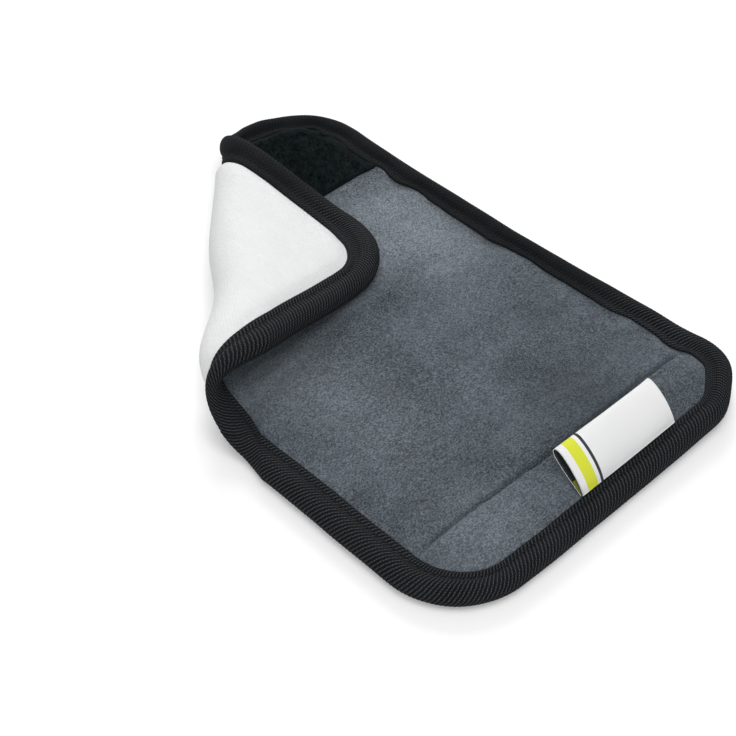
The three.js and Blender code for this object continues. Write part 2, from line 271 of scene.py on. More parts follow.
@dataclass
class CornerFold:
    """The corner folded over: a section of arcs and a straight run, carried along a slanted axis.

    Attributes:
        middle: height of the layer that is bent without stretching.
        axis_deg, from_tip: direction of the fold's axis, and its distance from the corner's tip.
        lead_radius, lead_deg: the gentle arcs before and after the tight bend of bend_radius.
        settle_radius, tip_flat: how the flap settles, and how much of its tip lies flat.
        corner_slide: how far the flap slides along the fold.
        flap_height, flap_margin: the flap's height, and the run over which it counts as turned.
        waist, waist_at, waist_reach: how far the crest is pulled in, where, and how wide.
        end_pull, end_span: how far its upper end is pulled in, and where.
        end_rise, rise_span, rise_run, rise_tail: how that end lifts; the tail is in bend radii.
        low_lean, low_span: how far its lower end leans over, and where.
        flatten: share of the grip that the fold presses flat.
        edge_bow, bow_reach: how far the right edge is drawn in.
        lifted, lift_reach: how far the right near corner stands off the floor.
        tape_line, tape_shift, tape_skew, skew_reach: how the loop tape is sewn askew.
    """

    plan: PadPlan
    middle: float = 3.3 * MM
    axis_deg: float = 49.5
    from_tip: float = 67.8 * MM
    lead_radius: float = 22 * MM
    lead_deg: float = 18.0
    bend_radius: float = 7 * MM
    settle_radius: float = 30 * MM
    tip_flat: float = 5 * MM
    corner_slide: float = 7 * MM
    flap_height: float = 8.8 * MM
    flap_margin: Span = (2 * MM, 22 * MM)
    waist: float = 2.4 * MM
    waist_at: float = 3.0 * MM
    waist_reach: float = 14 * MM
    end_pull: float = 1.6 * MM
    end_span: Span = (15 * MM, 60 * MM)
    end_rise: float = 2.0 * MM
    rise_span: Span = (58 * MM, 76 * MM)
    rise_run: float = 6 * MM
    rise_tail: float = 1.6
    low_lean: float = 2.6 * MM
    low_span: Span = (12 * MM, 38 * MM)
    flatten: float = 0.35
    edge_bow: float = 1.8 * MM
    bow_reach: float = 66 * MM
    lifted: float = 2.7 * MM
    lift_reach: float = 62 * MM
    tape_line: float = 47 * MM
    tape_shift: float = 1.7 * MM
    tape_skew: float = 0.026
    skew_reach: float = 40 * MM
    corner_tugs: tuple[Tug, ...] = (
        Tug(61.0 * MM, -66.0 * MM, -1.1 * MM, 0.0 * MM, 10 * MM),
        Tug(50.5 * MM, -90.5 * MM, -0.75 * MM, 1.1 * MM, 8 * MM),
    )
    floor_gap: float = 0.02 * MM

    MOST_DROOP_DEG = 60
    DROOP_TRIES = 40

    def __post_init__(self) -> None:
        """Works out the fold's axis, where it starts and how far the flap droops."""
        angle = math.radians(self.axis_deg)
        self.along_axis = np.array([math.cos(angle), math.sin(angle)])
        self.across_axis = np.array([-math.sin(angle), math.cos(angle)])
        centre = np.array([-self.plan.corner_x, self.plan.corner_y])
        tip = centre @ self.across_axis + self.plan.corner_radius
        self.start = tip - self.from_tip
        low, high = 0.0, math.radians(self.MOST_DROOP_DEG)
        for _ in range(self.DROOP_TRIES):
            droop = (low + high) / 2
            if self.section(droop)[-1][2] > self.flap_height:
                low = droop
            else:
                high = droop
        self.knots = np.array(self.section(low))
        bent = self.knots[3][0]
        self.flap_span = (bent - self.flap_margin[0], bent + self.flap_margin[1])

    def section(self, droop: float) -> list[tuple[float, float, float, float, float]]:
        """The fold's section for a flap that droops by an angle.

        Args:
            droop: the angle past half a turn, in radians.

        Returns:
            Knots of (distance along the sheet, place across, height, angle, curvature).
        """
        lead = math.radians(self.lead_deg)
        bends = [
            (self.lead_radius * lead, 1 / self.lead_radius),
            (self.bend_radius * (math.pi + droop - 2 * lead), 1 / self.bend_radius),
            (self.lead_radius * lead, 1 / self.lead_radius),
            (0.0, 0.0),
            (self.settle_radius * droop, -1 / self.settle_radius),
        ]
        used = sum(length for length, _ in bends)
        bends[3] = (max(self.from_tip - self.tip_flat - used, 0), 0.0)
        knots, s, across, height, angle = [], self.start, self.start, self.middle, 0.0
        for length, curve in bends:
            knots.append((s, across, height, angle, curve))
            step, turned = self.walk(length, angle, curve)
            s, across, height, angle = s + length, across + step[0], height + step[1], turned
        knots.append((s, across, height, angle, 0.0))
        return knots

    @staticmethod
    def walk(distance: Array, angle: Array, curve: Array) -> tuple[tuple[Array, Array], Array]:
        """Steps along an arc or a straight run.

        Args:
            distance: how far to walk.
            angle: the angle at the start, in radians.
            curve: the arc's curvature, 0 for a straight run.

        Returns:
            The step across and up, and the angle at its end.
        """
        end = angle + distance * curve
        straight = np.abs(curve) < TINY
        safe = np.where(straight, 1.0, curve)
        across = np.where(straight, distance * np.cos(angle), (np.sin(end) - np.sin(angle)) / safe)
        height = np.where(straight, distance * np.sin(angle), (np.cos(angle) - np.cos(end)) / safe)
        return (across, height), end

    def crest(self, x: Array, y: Array) -> Array:
        """0 on the flat pad and on the flap, and 1 along the crest of the fold."""
        s = x * self.across_axis[0] + y * self.across_axis[1]
        return np.sin(math.pi * np.clip((s - self.start) / (self.knots[3][0] - self.start), 0, 1)) ** 2

    def drawn(self, x: Array, y: Array) -> tuple[Array, Array]:
        """Draws the right edge and its near corner in and sews the loop tape askew.

        Args:
            x, y: points of the plan.

        Returns:
            The x and y to which they are drawn.
        """
        share = np.clip(x / (self.plan.width / 2), 0, 1) ** 2
        near = np.clip(1 - ((y - self.tape_line) / self.skew_reach) ** 2, 0, 1) ** 2
        in_x = x - self.edge_bow * share * np.clip(1 - (y / self.bow_reach) ** 2, 0, 1)
        in_y = y + (self.tape_shift + self.tape_skew * x) * near
        for tug in self.corner_tugs:
            share = np.exp(-((x - tug.x) ** 2 + (y - tug.y) ** 2) / tug.reach ** 2)
            in_x, in_y = in_x + tug.pull_x * share, in_y + tug.pull_y * share
        return in_x, in_y

    def bend(self, points: Array) -> Array:
        """Bends points of the flat pad with the folded corner.

        Args:
            points: rows of x, y in the pad's plane and z above the floor.

        Returns:
            Where the points lie on the folded pad.
        """
        points = np.array(points, float)
        points[:, 0], points[:, 1] = self.drawn(points[:, 0], points[:, 1])
        s = points[:, :2] @ self.across_axis
        t = points[:, :2] @ self.along_axis
        k = np.clip(np.searchsorted(self.knots[:, 0], s, side="right") - 1, 0, None)
        s0, across0, height0, angle0, curve = self.knots[k].T
        (across, height), angle = self.walk(s - s0, angle0, curve)
        offset = points[:, 2] - self.middle
        end = self.knots[3][0]
        t = t - self.corner_slide * ramp(s, self.start, end)
        from_waist = (t - self.waist_at) / self.waist_reach
        pull = self.waist * np.exp(-(from_waist ** 2)) + self.end_pull * ramp(t, *self.end_span)
        turned = np.clip((s - self.start) / (end - self.start), 0, 1)
        lean = self.low_lean * ramp(-t, *self.low_span) * np.sin(2 * math.pi * turned)
        hollow = pull * self.crest(points[:, 0], points[:, 1]) + lean
        place = across0 + across - offset * np.sin(angle) - hollow
        flat = place[:, None] * self.across_axis + t[:, None] * self.along_axis
        bent = np.column_stack([flat, height0 + height + offset * np.cos(angle)])
        bent = np.where((s > self.start)[:, None], bent, points)
        top = self.start + self.lead_radius * math.radians(self.lead_deg)
        tail = 1 - ramp(s, top, top + self.bend_radius * self.rise_tail)
        rise = ramp(s, self.start - self.rise_run, top) * tail
        bent[:, 2] += self.end_rise * rise * ramp(t, *self.rise_span)
        away = np.hypot(points[:, 0] - self.plan.width / 2, points[:, 1] + self.plan.length / 2)
        bent[:, 2] += self.lifted * np.clip(1 - away / self.lift_reach, 0, 1) ** 2
        bent[:, 2] = np.maximum(bent[:, 2], self.floor_gap)
        return bent


@dataclass(frozen=True)
class BindingCover:
    """How far in from the edge one face of the binding reaches on each side of the pad."""

    near: float = 7.2 * MM
    right: float = 8.9 * MM
    far: float = 8.5 * MM
    left: float = 8.9 * MM

    def at(self, normals: Array) -> Array:
        """The reach at places of the edge.

        Args:
            normals: the edge's outward normals there.

        Returns:
            The reach for each normal.
        """
        sides = {Side.NEAR: self.near, Side.RIGHT: self.right, Side.FAR: self.far, Side.LEFT: self.left}
        total = np.zeros(normals.shape[:-1])
        for side, reach in sides.items():
            total = total + reach * np.maximum(normals @ np.array(side.value), 0) ** 2
        return total


@dataclass
class PadLayers:
    """Heights of the layers above the floor on the flat pad.

    Attributes:
        cover, back_cover: how far the binding reaches over the face and over the lining.
        grip: half of the pad's thickness in the binding's grip.
        lining, foam, fleece, gap: thickness of the layers and of the air between them.
        hook_lift, hook_depth, hook_ramp: how the hook tape lifts the pad.
        stitch_spread, stitch_near, valley_share: the valley on the far and near side of the seam.
        stitch_line_half, stitch_depth, crease_share: the crease in its middle.
        loop_slope: the run by which the face calms under the loop tape.
        mouth_gap: distance from the binding to where the pad comes out of it.
        edge_soft, back_soft, swell_power: how the face and the lining rise out of the binding.
        slack, slack_span: how far the lining bags out at the lower end of the fold.
        pinch, pinch_span, pinch_run: how far the tape's back narrows there.
        scallop_depth, scallop_run: how far the right edge of the binding wanders.
        broad_mm, small_mm: the face's broad and small unevenness, in millimetres.
    """

    plan: PadPlan
    fold: CornerFold
    cover: BindingCover = BindingCover()
    back_cover: BindingCover = BindingCover(near=8.6 * MM, right=8.6 * MM, far=11.6 * MM, left=8.8 * MM)
    middle: float = 3.3 * MM
    grip: float = 1.3 * MM
    lining: float = 0.5 * MM
    foam: float = 2.7 * MM
    fleece: float = 1.4 * MM
    gap: float = 0.3 * MM
    hook_lift: float = 1.7 * MM
    hook_depth: float = 25 * MM
    hook_ramp: Span = (5 * MM, 13 * MM)
    stitch_inset: float = 23 * MM
    stitch_spread: float = 5.0 * MM
    stitch_near: float = 2.4 * MM
    stitch_line_half: float = 0.9 * MM
    stitch_depth: float = 3.0 * MM
    valley_share: float = 0.52
    crease_share: float = 0.48
    stitch_wander: float = 0.7 * MM
    loop_depth: float = 47 * MM
    loop_slope: float = 3 * MM
    mouth_gap: float = 0.1 * MM
    edge_soft: float = 9 * MM
    back_soft: float = 6 * MM
    swell_power: float = 2.6
    slack: float = 1.5 * MM
    slack_span: Span = (0 * MM, 22 * MM)
    pinch: float = 2.6 * MM
    pinch_span: Span = (14 * MM, 32 * MM)
    pinch_run: Span = (4 * MM, 6 * MM)
    scallop_depth: float = 1.1 * MM
    scallop_run: float = 10 * MM
    gather_height: float = 0.55 * MM
    gather_reach: float = 13 * MM
    gather_run: float = 6 * MM
    gather_slant: Span = (0.15, 0.1)
    broad_mm: float = 0.35
    small_mm: float = 0.16

    def __post_init__(self) -> None:
        """Draws the noises of the soft surface and of the gathered right edge."""
        self.broad = SoftNoise(Seed.BROAD, 26 * MM)
        self.small = SoftNoise(Seed.SMALL, 9 * MM)
        self.gather = SoftNoise(Seed.GATHER, 7.5 * MM)
        self.wander = SoftNoise(Seed.WANDER, 17 * MM)
        self.puff: Height = lambda x, y: np.zeros_like(x)

    @property
    def loop_line(self) -> float:
        """Y of the loop tape's inner border."""
        return self.plan.length / 2 - self.loop_depth

    @property
    def stitch_line(self) -> float:
        """Y of the stitch line that holds the hook tape."""
        return self.stitch_inset - self.plan.length / 2

    def mouth(self, x: Array, y: Array) -> Array:
        """Distance from the edge at which the pad comes out of its binding."""
        return self.cover.at(self.plan.facing(x, y)) + self.mouth_gap + self.scallop(x, y)

    def scallop(self, x: Array, y: Array) -> Array:
        """How far the gathered right edge of the binding wanders in and out."""
        right = ramp(x, self.plan.corner_x, self.plan.width / 2 - self.scallop_run)
        return self.scallop_depth * right * self.gather.at(y, np.zeros_like(y))

    def gathers(self, x: Array, y: Array) -> Array:
        """The soft gathers that run in from the right edge, between its scallops.

        Args:
            x, y: points of the plan.

        Returns:
            Their height there.
        """
        right = ramp(x, self.plan.width / 6, self.plan.corner_x + self.gather_run)
        fade = np.exp(-np.clip(self.plan.inset(x, y) - self.cover.right, 0, None) / self.gather_reach)
        slant, drift = self.gather_slant
        return -self.gather_height * right * fade * self.gather.at(y + slant * x, drift * x)

    def swell(self, x: Array, y: Array) -> Array:
        """How far the face has risen out of the binding.

        Args:
            x, y: points of the plan.

        Returns:
            0 in the binding and 1 where the pad has its full thickness.
        """
        start = self.mouth(x, y)
        share = np.clip((self.plan.inset(x, y) - start) / self.edge_soft, 0, 1)
        return 1 - (1 - share) ** self.swell_power

    def over_hook(self, y: Array) -> Array:
        """1 over the hook tape and 0 past it."""
        past = y + self.plan.length / 2 - self.hook_depth
        return 1 - ramp(past, *self.hook_ramp)

    def bow(self, x: Array) -> Array:
        """How far the stitch line wanders off its place."""
        return self.stitch_wander * self.wander.at(x, np.zeros_like(x))

    def on_stitch(self, x: Array, y: Array) -> Array:
        """How deep places lie in the hook tape's stitch line.

        Args:
            x, y: the places.

        Returns:
            0 beside the line and 1 in its crease.
        """
        away = y - self.stitch_line - self.bow(x)
        valley = np.maximum(1 - np.maximum(away / self.stitch_spread, -away / self.stitch_near), 0) ** 2
        crease = np.maximum(1 - np.abs(away) / self.stitch_line_half, 0)
        return self.valley_share * valley + self.crease_share * crease

    def under_loop(self, y: Array) -> Array:
        """1 under the loop tape and 0 before it."""
        return ramp(y, self.loop_line - self.loop_slope, self.loop_line)

    def back_swell(self, x: Array, y: Array) -> Array:
        """How far the lining has come out of the binding's back.

        Args:
            x, y: points of the plan.

        Returns:
            0 in the binding and 1 where the lining lies at full depth.
        """
        start = self.back_reach(x, y, self.plan.facing(x, y)) + self.mouth_gap
        share = np.clip((self.plan.inset(x, y) - start) / self.back_soft, 0, 1)
        return 1 - (1 - share) ** self.swell_power

    def back_reach(self, x: Array, y: Array, normals: Array) -> Array:
        """How far the tape covers the back, which is less where it turns at the lower end of the fold.

        Args:
            x, y: points of the plan.
            normals: outward normals of the edge there.

        Returns:
            The tape's reach at each point.
        """
        t = x * self.fold.along_axis[0] + y * self.fold.along_axis[1]
        s = x * self.fold.across_axis[0] + y * self.fold.across_axis[1]
        before, past = self.pinch_run
        turned = ramp(s, self.fold.start - before, self.fold.start + past) - ramp(s, *self.fold.flap_span)
        return self.back_cover.at(normals) - self.pinch * turned * ramp(-t, *self.pinch_span)

    def hold(self, x: Array, y: Array) -> Array:
        """Half of the pad's thickness in the binding's grip, less where the fold presses it flat."""
        return self.grip * (1 - self.fold.flatten * self.fold.crest(x, y))

    def base(self, x: Array, y: Array) -> Array:
        """Underside of the pad where its lining lies taut."""
        gripped = (self.middle - self.hold(x, y)) * (1 - self.back_swell(x, y))
        return np.maximum(gripped, self.hook_lift * self.over_hook(y))

    def lining_bottom(self, x: Array, y: Array) -> Array:
        """Underside of the lining, which bags out at the lower end of the fold.

        Args:
            x, y: points of the plan.

        Returns:
            Its height above the floor.
        """
        t = x * self.fold.along_axis[0] + y * self.fold.along_axis[1]
        loose = self.slack * self.fold.crest(x, y) * ramp(-t, *self.slack_span)
        return self.base(x, y) - loose * self.back_swell(x, y)

    def lining_top(self, x: Array, y: Array) -> Array:
        """Upper side of the lining."""
        return self.lining_bottom(x, y) + self.lining

    def cover_bottom(self, x: Array, y: Array) -> Array:
        """Underside of the padded face."""
        return self.base(x, y) + self.lining + self.gap / 3

    def cover_top(self, x: Array, y: Array) -> Array:
        """The fleece surface, soft and a little uneven.

        Args:
            x, y: points of the plan.

        Returns:
            Its height above the floor.
        """
        swell = self.swell(x, y)
        full = self.lining + self.foam + self.fleece + 2 * self.gap
        gripped = 2 * self.hold(x, y)
        rise = gripped + (full - gripped) * swell
        calm = 1 - self.under_loop(y)
        uneven = (self.broad_mm * self.broad.at(x, y) + self.small_mm * self.small.at(x, y)) * MM * swell
        sunk = self.stitch_depth * self.on_stitch(x, y) * swell
        uneven = uneven + self.gathers(x, y) * swell
        return self.base(x, y) + rise + calm * (uneven + self.puff(x, y)) - sunk


def put(name: str, data: bpy.types.ID) -> Piece:
    """Makes an object of its data and puts it into the scene.

    Args:
        name: the object's name.
        data: its mesh, lamp or camera.

    Returns:
        The new object.
    """
    made = bpy.data.objects.new(name, data)
    bpy.context.scene.collection.objects.link(made)
    return made


def add_object(name: str, points: Array, faces: list, flat: Array) -> Piece:
    """Makes a mesh object whose texture place follows the cloth.

    Args:
        name: the piece's name.
        points: vertex places in metres.
        faces: lists of vertex numbers.
        flat: each vertex's place on the flat cloth, for its pattern.

    Returns:
        The new object, shaded smooth.
    """
    mesh = bpy.data.meshes.new(name)
    mesh.from_pydata(np.asarray(points).tolist(), [], faces)
    place = mesh.attributes.new(FLAT, "FLOAT_VECTOR", "POINT")
    place.data.foreach_set("vector", np.asarray(flat, np.float32).ravel())
    mesh.shade_smooth()
    mesh.update()
    return put(name, mesh)


def dress(made: Piece, material: Material, slot: str, *nodes: str) -> None:
    """Gives a piece its material and its place in the frame.

    Args:
        made: the piece.
        material: its finish.
        slot: the record's material slot; not used.
        nodes: the solids that it stands for.
    """
    made.data.materials.clear()
    made.data.materials.append(material)
    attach(made, BODY)
    if nodes:
        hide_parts(*nodes)
    LOG.info("%s: %d vertices, %d faces", made.name, len(made.data.vertices), len(made.data.polygons))


def everywhere(x: Array, y: Array) -> Array:
    """Keeps the whole plan."""
    return np.ones(len(x), bool)


class PlanMesh:
    """Cells of the flat pad: rings inside its outline and a grid in its middle."""

    MERGE = 1e-7

    def __init__(self, plan: PadPlan, step: float, border: float, rows: tuple[float, ...] = (),
                 finer: tuple[float, ...] = ()) -> None:
        """Divides the plan.

        Args:
            plan: the pad's outline.
            step: size of a cell.
            border: distance of the outermost ring from the outline.
            rows: values of Y that the grid has to hit.
            finer: distances to both sides of the near corners' centres at which it has more rows.
        """
        spread = lambda half: np.linspace(-half, half, round(2 * half / step) + 1)
        xs, ys = spread(plan.corner_x), spread(plan.corner_y)
        for row in rows:
            ys[np.argmin(np.abs(ys - row))] = row
        ys = np.sort(np.append(ys, ys[0] + np.array(finer)))
        quarter = math.pi / 2 * plan.corner_radius
        turn = np.linspace(0, quarter, round(quarter / step) + 1)[:-1]
        u, start = [], 0.0
        for run in (ys, -xs[::-1], -ys[::-1], xs):
            along = run - run[0]
            u += [start + turn, start + quarter + along[:-1]]
            start += quarter + along[-1]
        stations = np.concatenate(u)
        count = round((plan.corner_radius - border) / step)
        rings = np.linspace(border, plan.corner_radius, count + 1)
        rings = np.sort(np.append(rings, plan.corner_radius - np.array(finer)))
        grid = np.stack([plan.rim(stations, np.full(len(stations), d)) for d in rings])
        ahead = np.roll(grid, -1, axis=1)
        ring_cells = np.stack([grid[:-1], ahead[:-1], ahead[1:], grid[1:]], 2).reshape(-1, 4, 2)
        gx, gy = np.meshgrid(xs, ys, indexing="ij")
        inner = np.stack([gx, gy], -1)
        mid_cells = np.stack([inner[:-1, :-1], inner[1:, :-1], inner[1:, 1:], inner[:-1, 1:]], 2)
        cells = np.concatenate([ring_cells, mid_cells.reshape(-1, 4, 2)])
        keys = np.round(cells.reshape(-1, 2) / self.MERGE).astype(np.int64)
        _, first, index = np.unique(keys, axis=0, return_index=True, return_inverse=True)
        self.points = cells.reshape(-1, 2)[first]
        self.cells = index.reshape(-1, 4)

    def faces(self, keep: Keep) -> list[list[int]]:
        """The cells whose middle is kept, as faces without doubled corners.

        Args:
            keep: tells which plan points belong to the piece.

        Returns:
            Lists of point numbers.
        """
        middles = self.points[self.cells].mean(axis=1)
        chosen = self.cells[keep(middles[:, 0], middles[:, 1])]
        unique = lambda cell: [v for i, v in enumerate(cell) if v != cell[i - 1]]
        return [unique(cell) for cell in chosen.tolist()]

    def solid(self, name: str, keep: Keep, bottom: Height, top: Height, bend: Bend) -> Piece:
        """A closed layer between two heights, bent with the fold.

        Args:
            name: the piece's name.
            keep: tells which plan points belong to it.
            bottom: its lower height.
            top: its upper height.
            bend: the fold's map.

        Returns:
            The new object.
        """
        faces = self.faces(keep)
        used = sorted({v for face in faces for v in face})
        place = {v: i for i, v in enumerate(used)}
        plan = self.points[used]
        x, y = plan.T
        flat = np.concatenate([np.column_stack([plan, height(x, y)]) for height in (bottom, top)])
        count = len(used)
        upper = [[place[v] + count for v in face] for face in faces]
        lower = [[place[v] for v in reversed(face)] for face in faces]
        edges = {(face[i - 1], v) for face in faces for i, v in enumerate(face)}
        rim = [(a, b) for a, b in edges if (b, a) not in edges]
        walls = [[place[a], place[b], place[b] + count, place[a] + count] for a, b in sorted(rim)]
        return add_object(name, bend(flat), upper + lower + walls, flat)


class NodeSheet:
    """Short hand for laying out shader nodes in a material or a node group."""

    def __init__(self, tree: Tree) -> None:
        """Starts on an empty tree."""
        self.tree = tree

    def add(self, kind: str, **values: object) -> Node:
        """Adds a node and sets its attributes, or its inputs by name.

        Args:
            kind: the node's type, without ShaderNode.
            values: attributes; or inputs, by name with _ for a space or by number after an i, each
                with a number or a socket to link.

        Returns:
            The new node.
        """
        node = self.tree.nodes.new("ShaderNode" + kind)
        for name, value in values.items():
            if hasattr(node, name):
                setattr(node, name, value)
                continue
            key = int(name[1:]) if name[1:].isdigit() else name.replace("_", " ")
            self.feed(node.inputs[key], value)
        return node

    def feed(self, socket: Socket, value: object) -> None:
        """Links a socket to another, or sets its value.

        Args:
            socket: the input.
            value: the output that it is linked to, or its plain value.
        """
        if isinstance(value, Socket):
            self.tree.links.new(value, socket)
        else:
            socket.default_value = value

    def math(self, operation: str, first: object, second: object = 0.0) -> Socket:
        """The result of a Math node."""
        return self.add("Math", operation=operation, i0=first, i1=second).outputs[0]

    def times(self, first: object, second: object) -> Socket:
        """The product of two values."""
        return self.math("MULTIPLY", first, second)

    def mix(self, share: object, first: object, second: object) -> Socket:
        """The colour between two colours.

        Args:
            share: 0 for the first and 1 for the second.
            first, second: the two colours, or sockets.

        Returns:
            The mixed colour.
        """
        node = self.add("Mix", data_type="RGBA")
        for index, value in ((0, share), (6, first), (7, second)):
            self.feed(node.inputs[index], value)
        return node.outputs[2]

    def remap(self, value: object, low: float, high: float, to: Span = (0, 1)) -> Socket:
        """A value moved from one range to another, and held there.

        Args:
            value: the socket to read.
            low, high: the range that it comes from.
            to: the range that it goes to.

        Returns:
            The new value.
        """
        node = self.add("MapRange", Value=value)
        for name, number in (("From Min", low), ("From Max", high), ("To Min", to[0]), ("To Max", to[1])):
            node.inputs[name].default_value = number
        return node.outputs[0]

    def noise(self, vector: object, scale: object, detail: float = 2.0, rough: float = 0.5) -> Socket:
        """A noise texture's value."""
        node = self.add("TexNoise", Vector=vector, Scale=scale, Detail=detail, Roughness=rough)
        return node.outputs[0]

    def stretch(self, vector: object, factors: Point) -> Socket:
        """A place stretched by a factor for each direction."""
        return self.add("VectorMath", operation="MULTIPLY", i0=vector, i1=factors).outputs[0]

    def sum(self, *parts: tuple[object, float]) -> Socket:
        """Adds sockets up.

        Args:
            parts: each socket with its weight.

        Returns:
            The weighted sum.
        """
        total, *rest = [self.times(socket, weight) for socket, weight in parts]
        for part in rest:
            total = self.math("ADD", total, part)
        return total


def open_group(name: str, inputs: dict[str, object], outputs: tuple[str, ...]) -> tuple[NodeSheet, dict]:
    """Starts a shader node group.

    Args:
        name: the group's name.
        inputs: each input's name with its default; None stands for a vector.
        outputs: the names of its value outputs.

    Returns:
        The group's sheet and its input sockets by name.
    """
    tree = bpy.data.node_groups.new(name, "ShaderNodeTree")
    for label, default in inputs.items():
        kind = "NodeSocketVector" if default is None else "NodeSocketFloat"
        socket = tree.interface.new_socket(label, in_out="INPUT", socket_type=kind)
        if default is not None:
            socket.default_value = default
    for label in outputs:
        tree.interface.new_socket(label, in_out="OUTPUT", socket_type="NodeSocketFloat")
    entry = tree.nodes.new("NodeGroupInput")
    return NodeSheet(tree), {socket.name: socket for socket in entry.outputs if socket.name}


def close_group(sheet: NodeSheet, results: dict[str, Socket]) -> Tree:
    """Links a group's results to its outputs.

    Args:
        sheet: the group's sheet.
        results: a socket for each output's name.

    Returns:
        The group.
    """
    leave = sheet.tree.nodes.new("NodeGroupOutput")
    for label, socket in results.items():
        sheet.tree.links.new(socket, leave.inputs[label])
    return sheet.tree


class ClothNodes:
    """Node groups that the finishes share, each built once."""

    DRIFT = (0.007, 0.007, 0.0)
    COMBED = (0.55, 1.0, 1.0)
    SWEPT = (0.6, 1.0, 1.0)
    LINT_STRETCH = (1.0, 0.4, 1.0)
    GRAIN_SHARE, TIP_SHARE = 0.65, 0.35
    BROAD_SHARE, STREAK_SHARE, SMEAR_SHARE = 0.35, 0.12, 0.52
    WARP_SCALE, STREAK_SCALE, SMEAR_SCALE, TIP_SCALE = 1.7, 7.0, 2.2, 1.3
    STREAK_HEIGHT = 0.5

    def __init__(self) -> None:
        """Builds the groups."""
        self.nap = self.build_nap()
        self.weave = self.build_weave()
        self.lint = self.build_lint()

    def build_nap(self) -> Tree:
        """Pile brushed this way and that: broad patches where it lies differently, and a fine grain.

        Returns:
            The group. Shade goes from dark to light, Grain is the fine pile alone.
        """
        inputs = {"Place": None, "Patch Size": 0.02, "Grain Size": 0.0008, "Patch Share": 0.6}
        s, at = open_group("nap", inputs, ("Shade", "Grain", "Height"))
        size = lambda socket: s.math("DIVIDE", 1.0, socket)
        patch_scale = size(at["Patch Size"])
        warp_scale = s.times(patch_scale, self.WARP_SCALE)
        warp = s.add("TexNoise", Vector=at["Place"], Scale=warp_scale, Detail=1.0)
        drift = s.add("VectorMath", operation="MULTIPLY_ADD", i0=warp.outputs[1], i1=self.DRIFT,
                      i2=at["Place"]).outputs[0]
        broad = s.remap(s.noise(drift, patch_scale, 1.5, 0.45), 0.3, 0.7)
        combed = s.stretch(at["Place"], self.COMBED)
        streak_scale = s.times(patch_scale, self.STREAK_SCALE)
        streak = s.remap(s.noise(combed, streak_scale, 2.0, 0.55), 0.32, 0.7)
        grain_scale = size(at["Grain Size"])
        grain = s.remap(s.noise(combed, grain_scale, 1.0, 0.6), 0.4, 0.6)
        tips = s.add("TexVoronoi", Vector=combed, Scale=s.times(grain_scale, self.TIP_SCALE))
        tips = s.remap(tips.outputs[0], 0.0, 0.8, (1.0, 0.0))
        grain = s.sum((grain, self.GRAIN_SHARE), (tips, self.TIP_SHARE))
        swept = s.stretch(drift, self.SWEPT)
        smear_scale = s.times(patch_scale, self.SMEAR_SCALE)
        smear = s.remap(s.noise(swept, smear_scale, 2.5, 0.5), 0.36, 0.76)
        mixed = s.sum((broad, self.BROAD_SHARE), (streak, self.STREAK_SHARE), (smear, self.SMEAR_SHARE))
        less = s.math("SUBTRACT", 1.0, at["Patch Share"])
        shade = s.sum((mixed, at["Patch Share"]), (grain, less))
        height = s.math("ADD", grain, s.times(streak, self.STREAK_HEIGHT))
        return close_group(s, {"Shade": shade, "Grain": grain, "Height": height})

    def build_weave(self) -> Tree:
        """Threads that cross over and under each other; a slant turns them into a twill.

        Returns:
            The group. Height is that of the threads, Gap is 1 between them.
        """
        inputs = {"Place": None, "Pitch U": 0.0005, "Pitch V": 0.0005, "Slant": 0.0}
        s, at = open_group("weave", inputs, ("Height", "Gap"))
        split = s.add("SeparateXYZ", Vector=at["Place"])
        slanted = s.math("ADD", split.outputs[0], s.times(split.outputs[1], at["Slant"]))
        turn = lambda value, pitch: s.times(s.math("DIVIDE", value, pitch), math.pi)
        u, v = turn(slanted, at["Pitch U"]), turn(split.outputs[1], at["Pitch V"])
        along = s.math("ABSOLUTE", s.math("SINE", u))
        across = s.math("ABSOLUTE", s.math("SINE", v))
        over = s.math("GREATER_THAN", s.times(s.math("SINE", u), s.math("SINE", v)), 0.0)
        under = s.math("SUBTRACT", 1.0, over)
        height = s.sum((over, along), (under, across))
        gap = s.remap(s.times(along, across), 0.0, 0.25, (1.0, 0.0))
        return close_group(s, {"Height": height, "Gap": gap})

    def build_lint(self) -> Tree:
        """Sparse specks and fibre ends.

        Returns:
            The group. Specks is 1 in the middle of each.
        """
        s, at = open_group("lint", {"Place": None, "Size": 0.0012, "Amount": 0.2}, ("Specks",))
        scale = s.math("DIVIDE", 1.0, at["Size"])
        stretched = s.stretch(at["Place"], self.LINT_STRETCH)
        spots = s.add("TexVoronoi", Vector=stretched, Scale=scale)
        near = s.remap(spots.outputs[0], 0.05, 0.3, (1.0, 0.0))
        chosen = s.math("LESS_THAN", s.add("SeparateXYZ", Vector=spots.outputs[1]).outputs[0], at["Amount"])
        return close_group(s, {"Specks": s.times(near, chosen)})


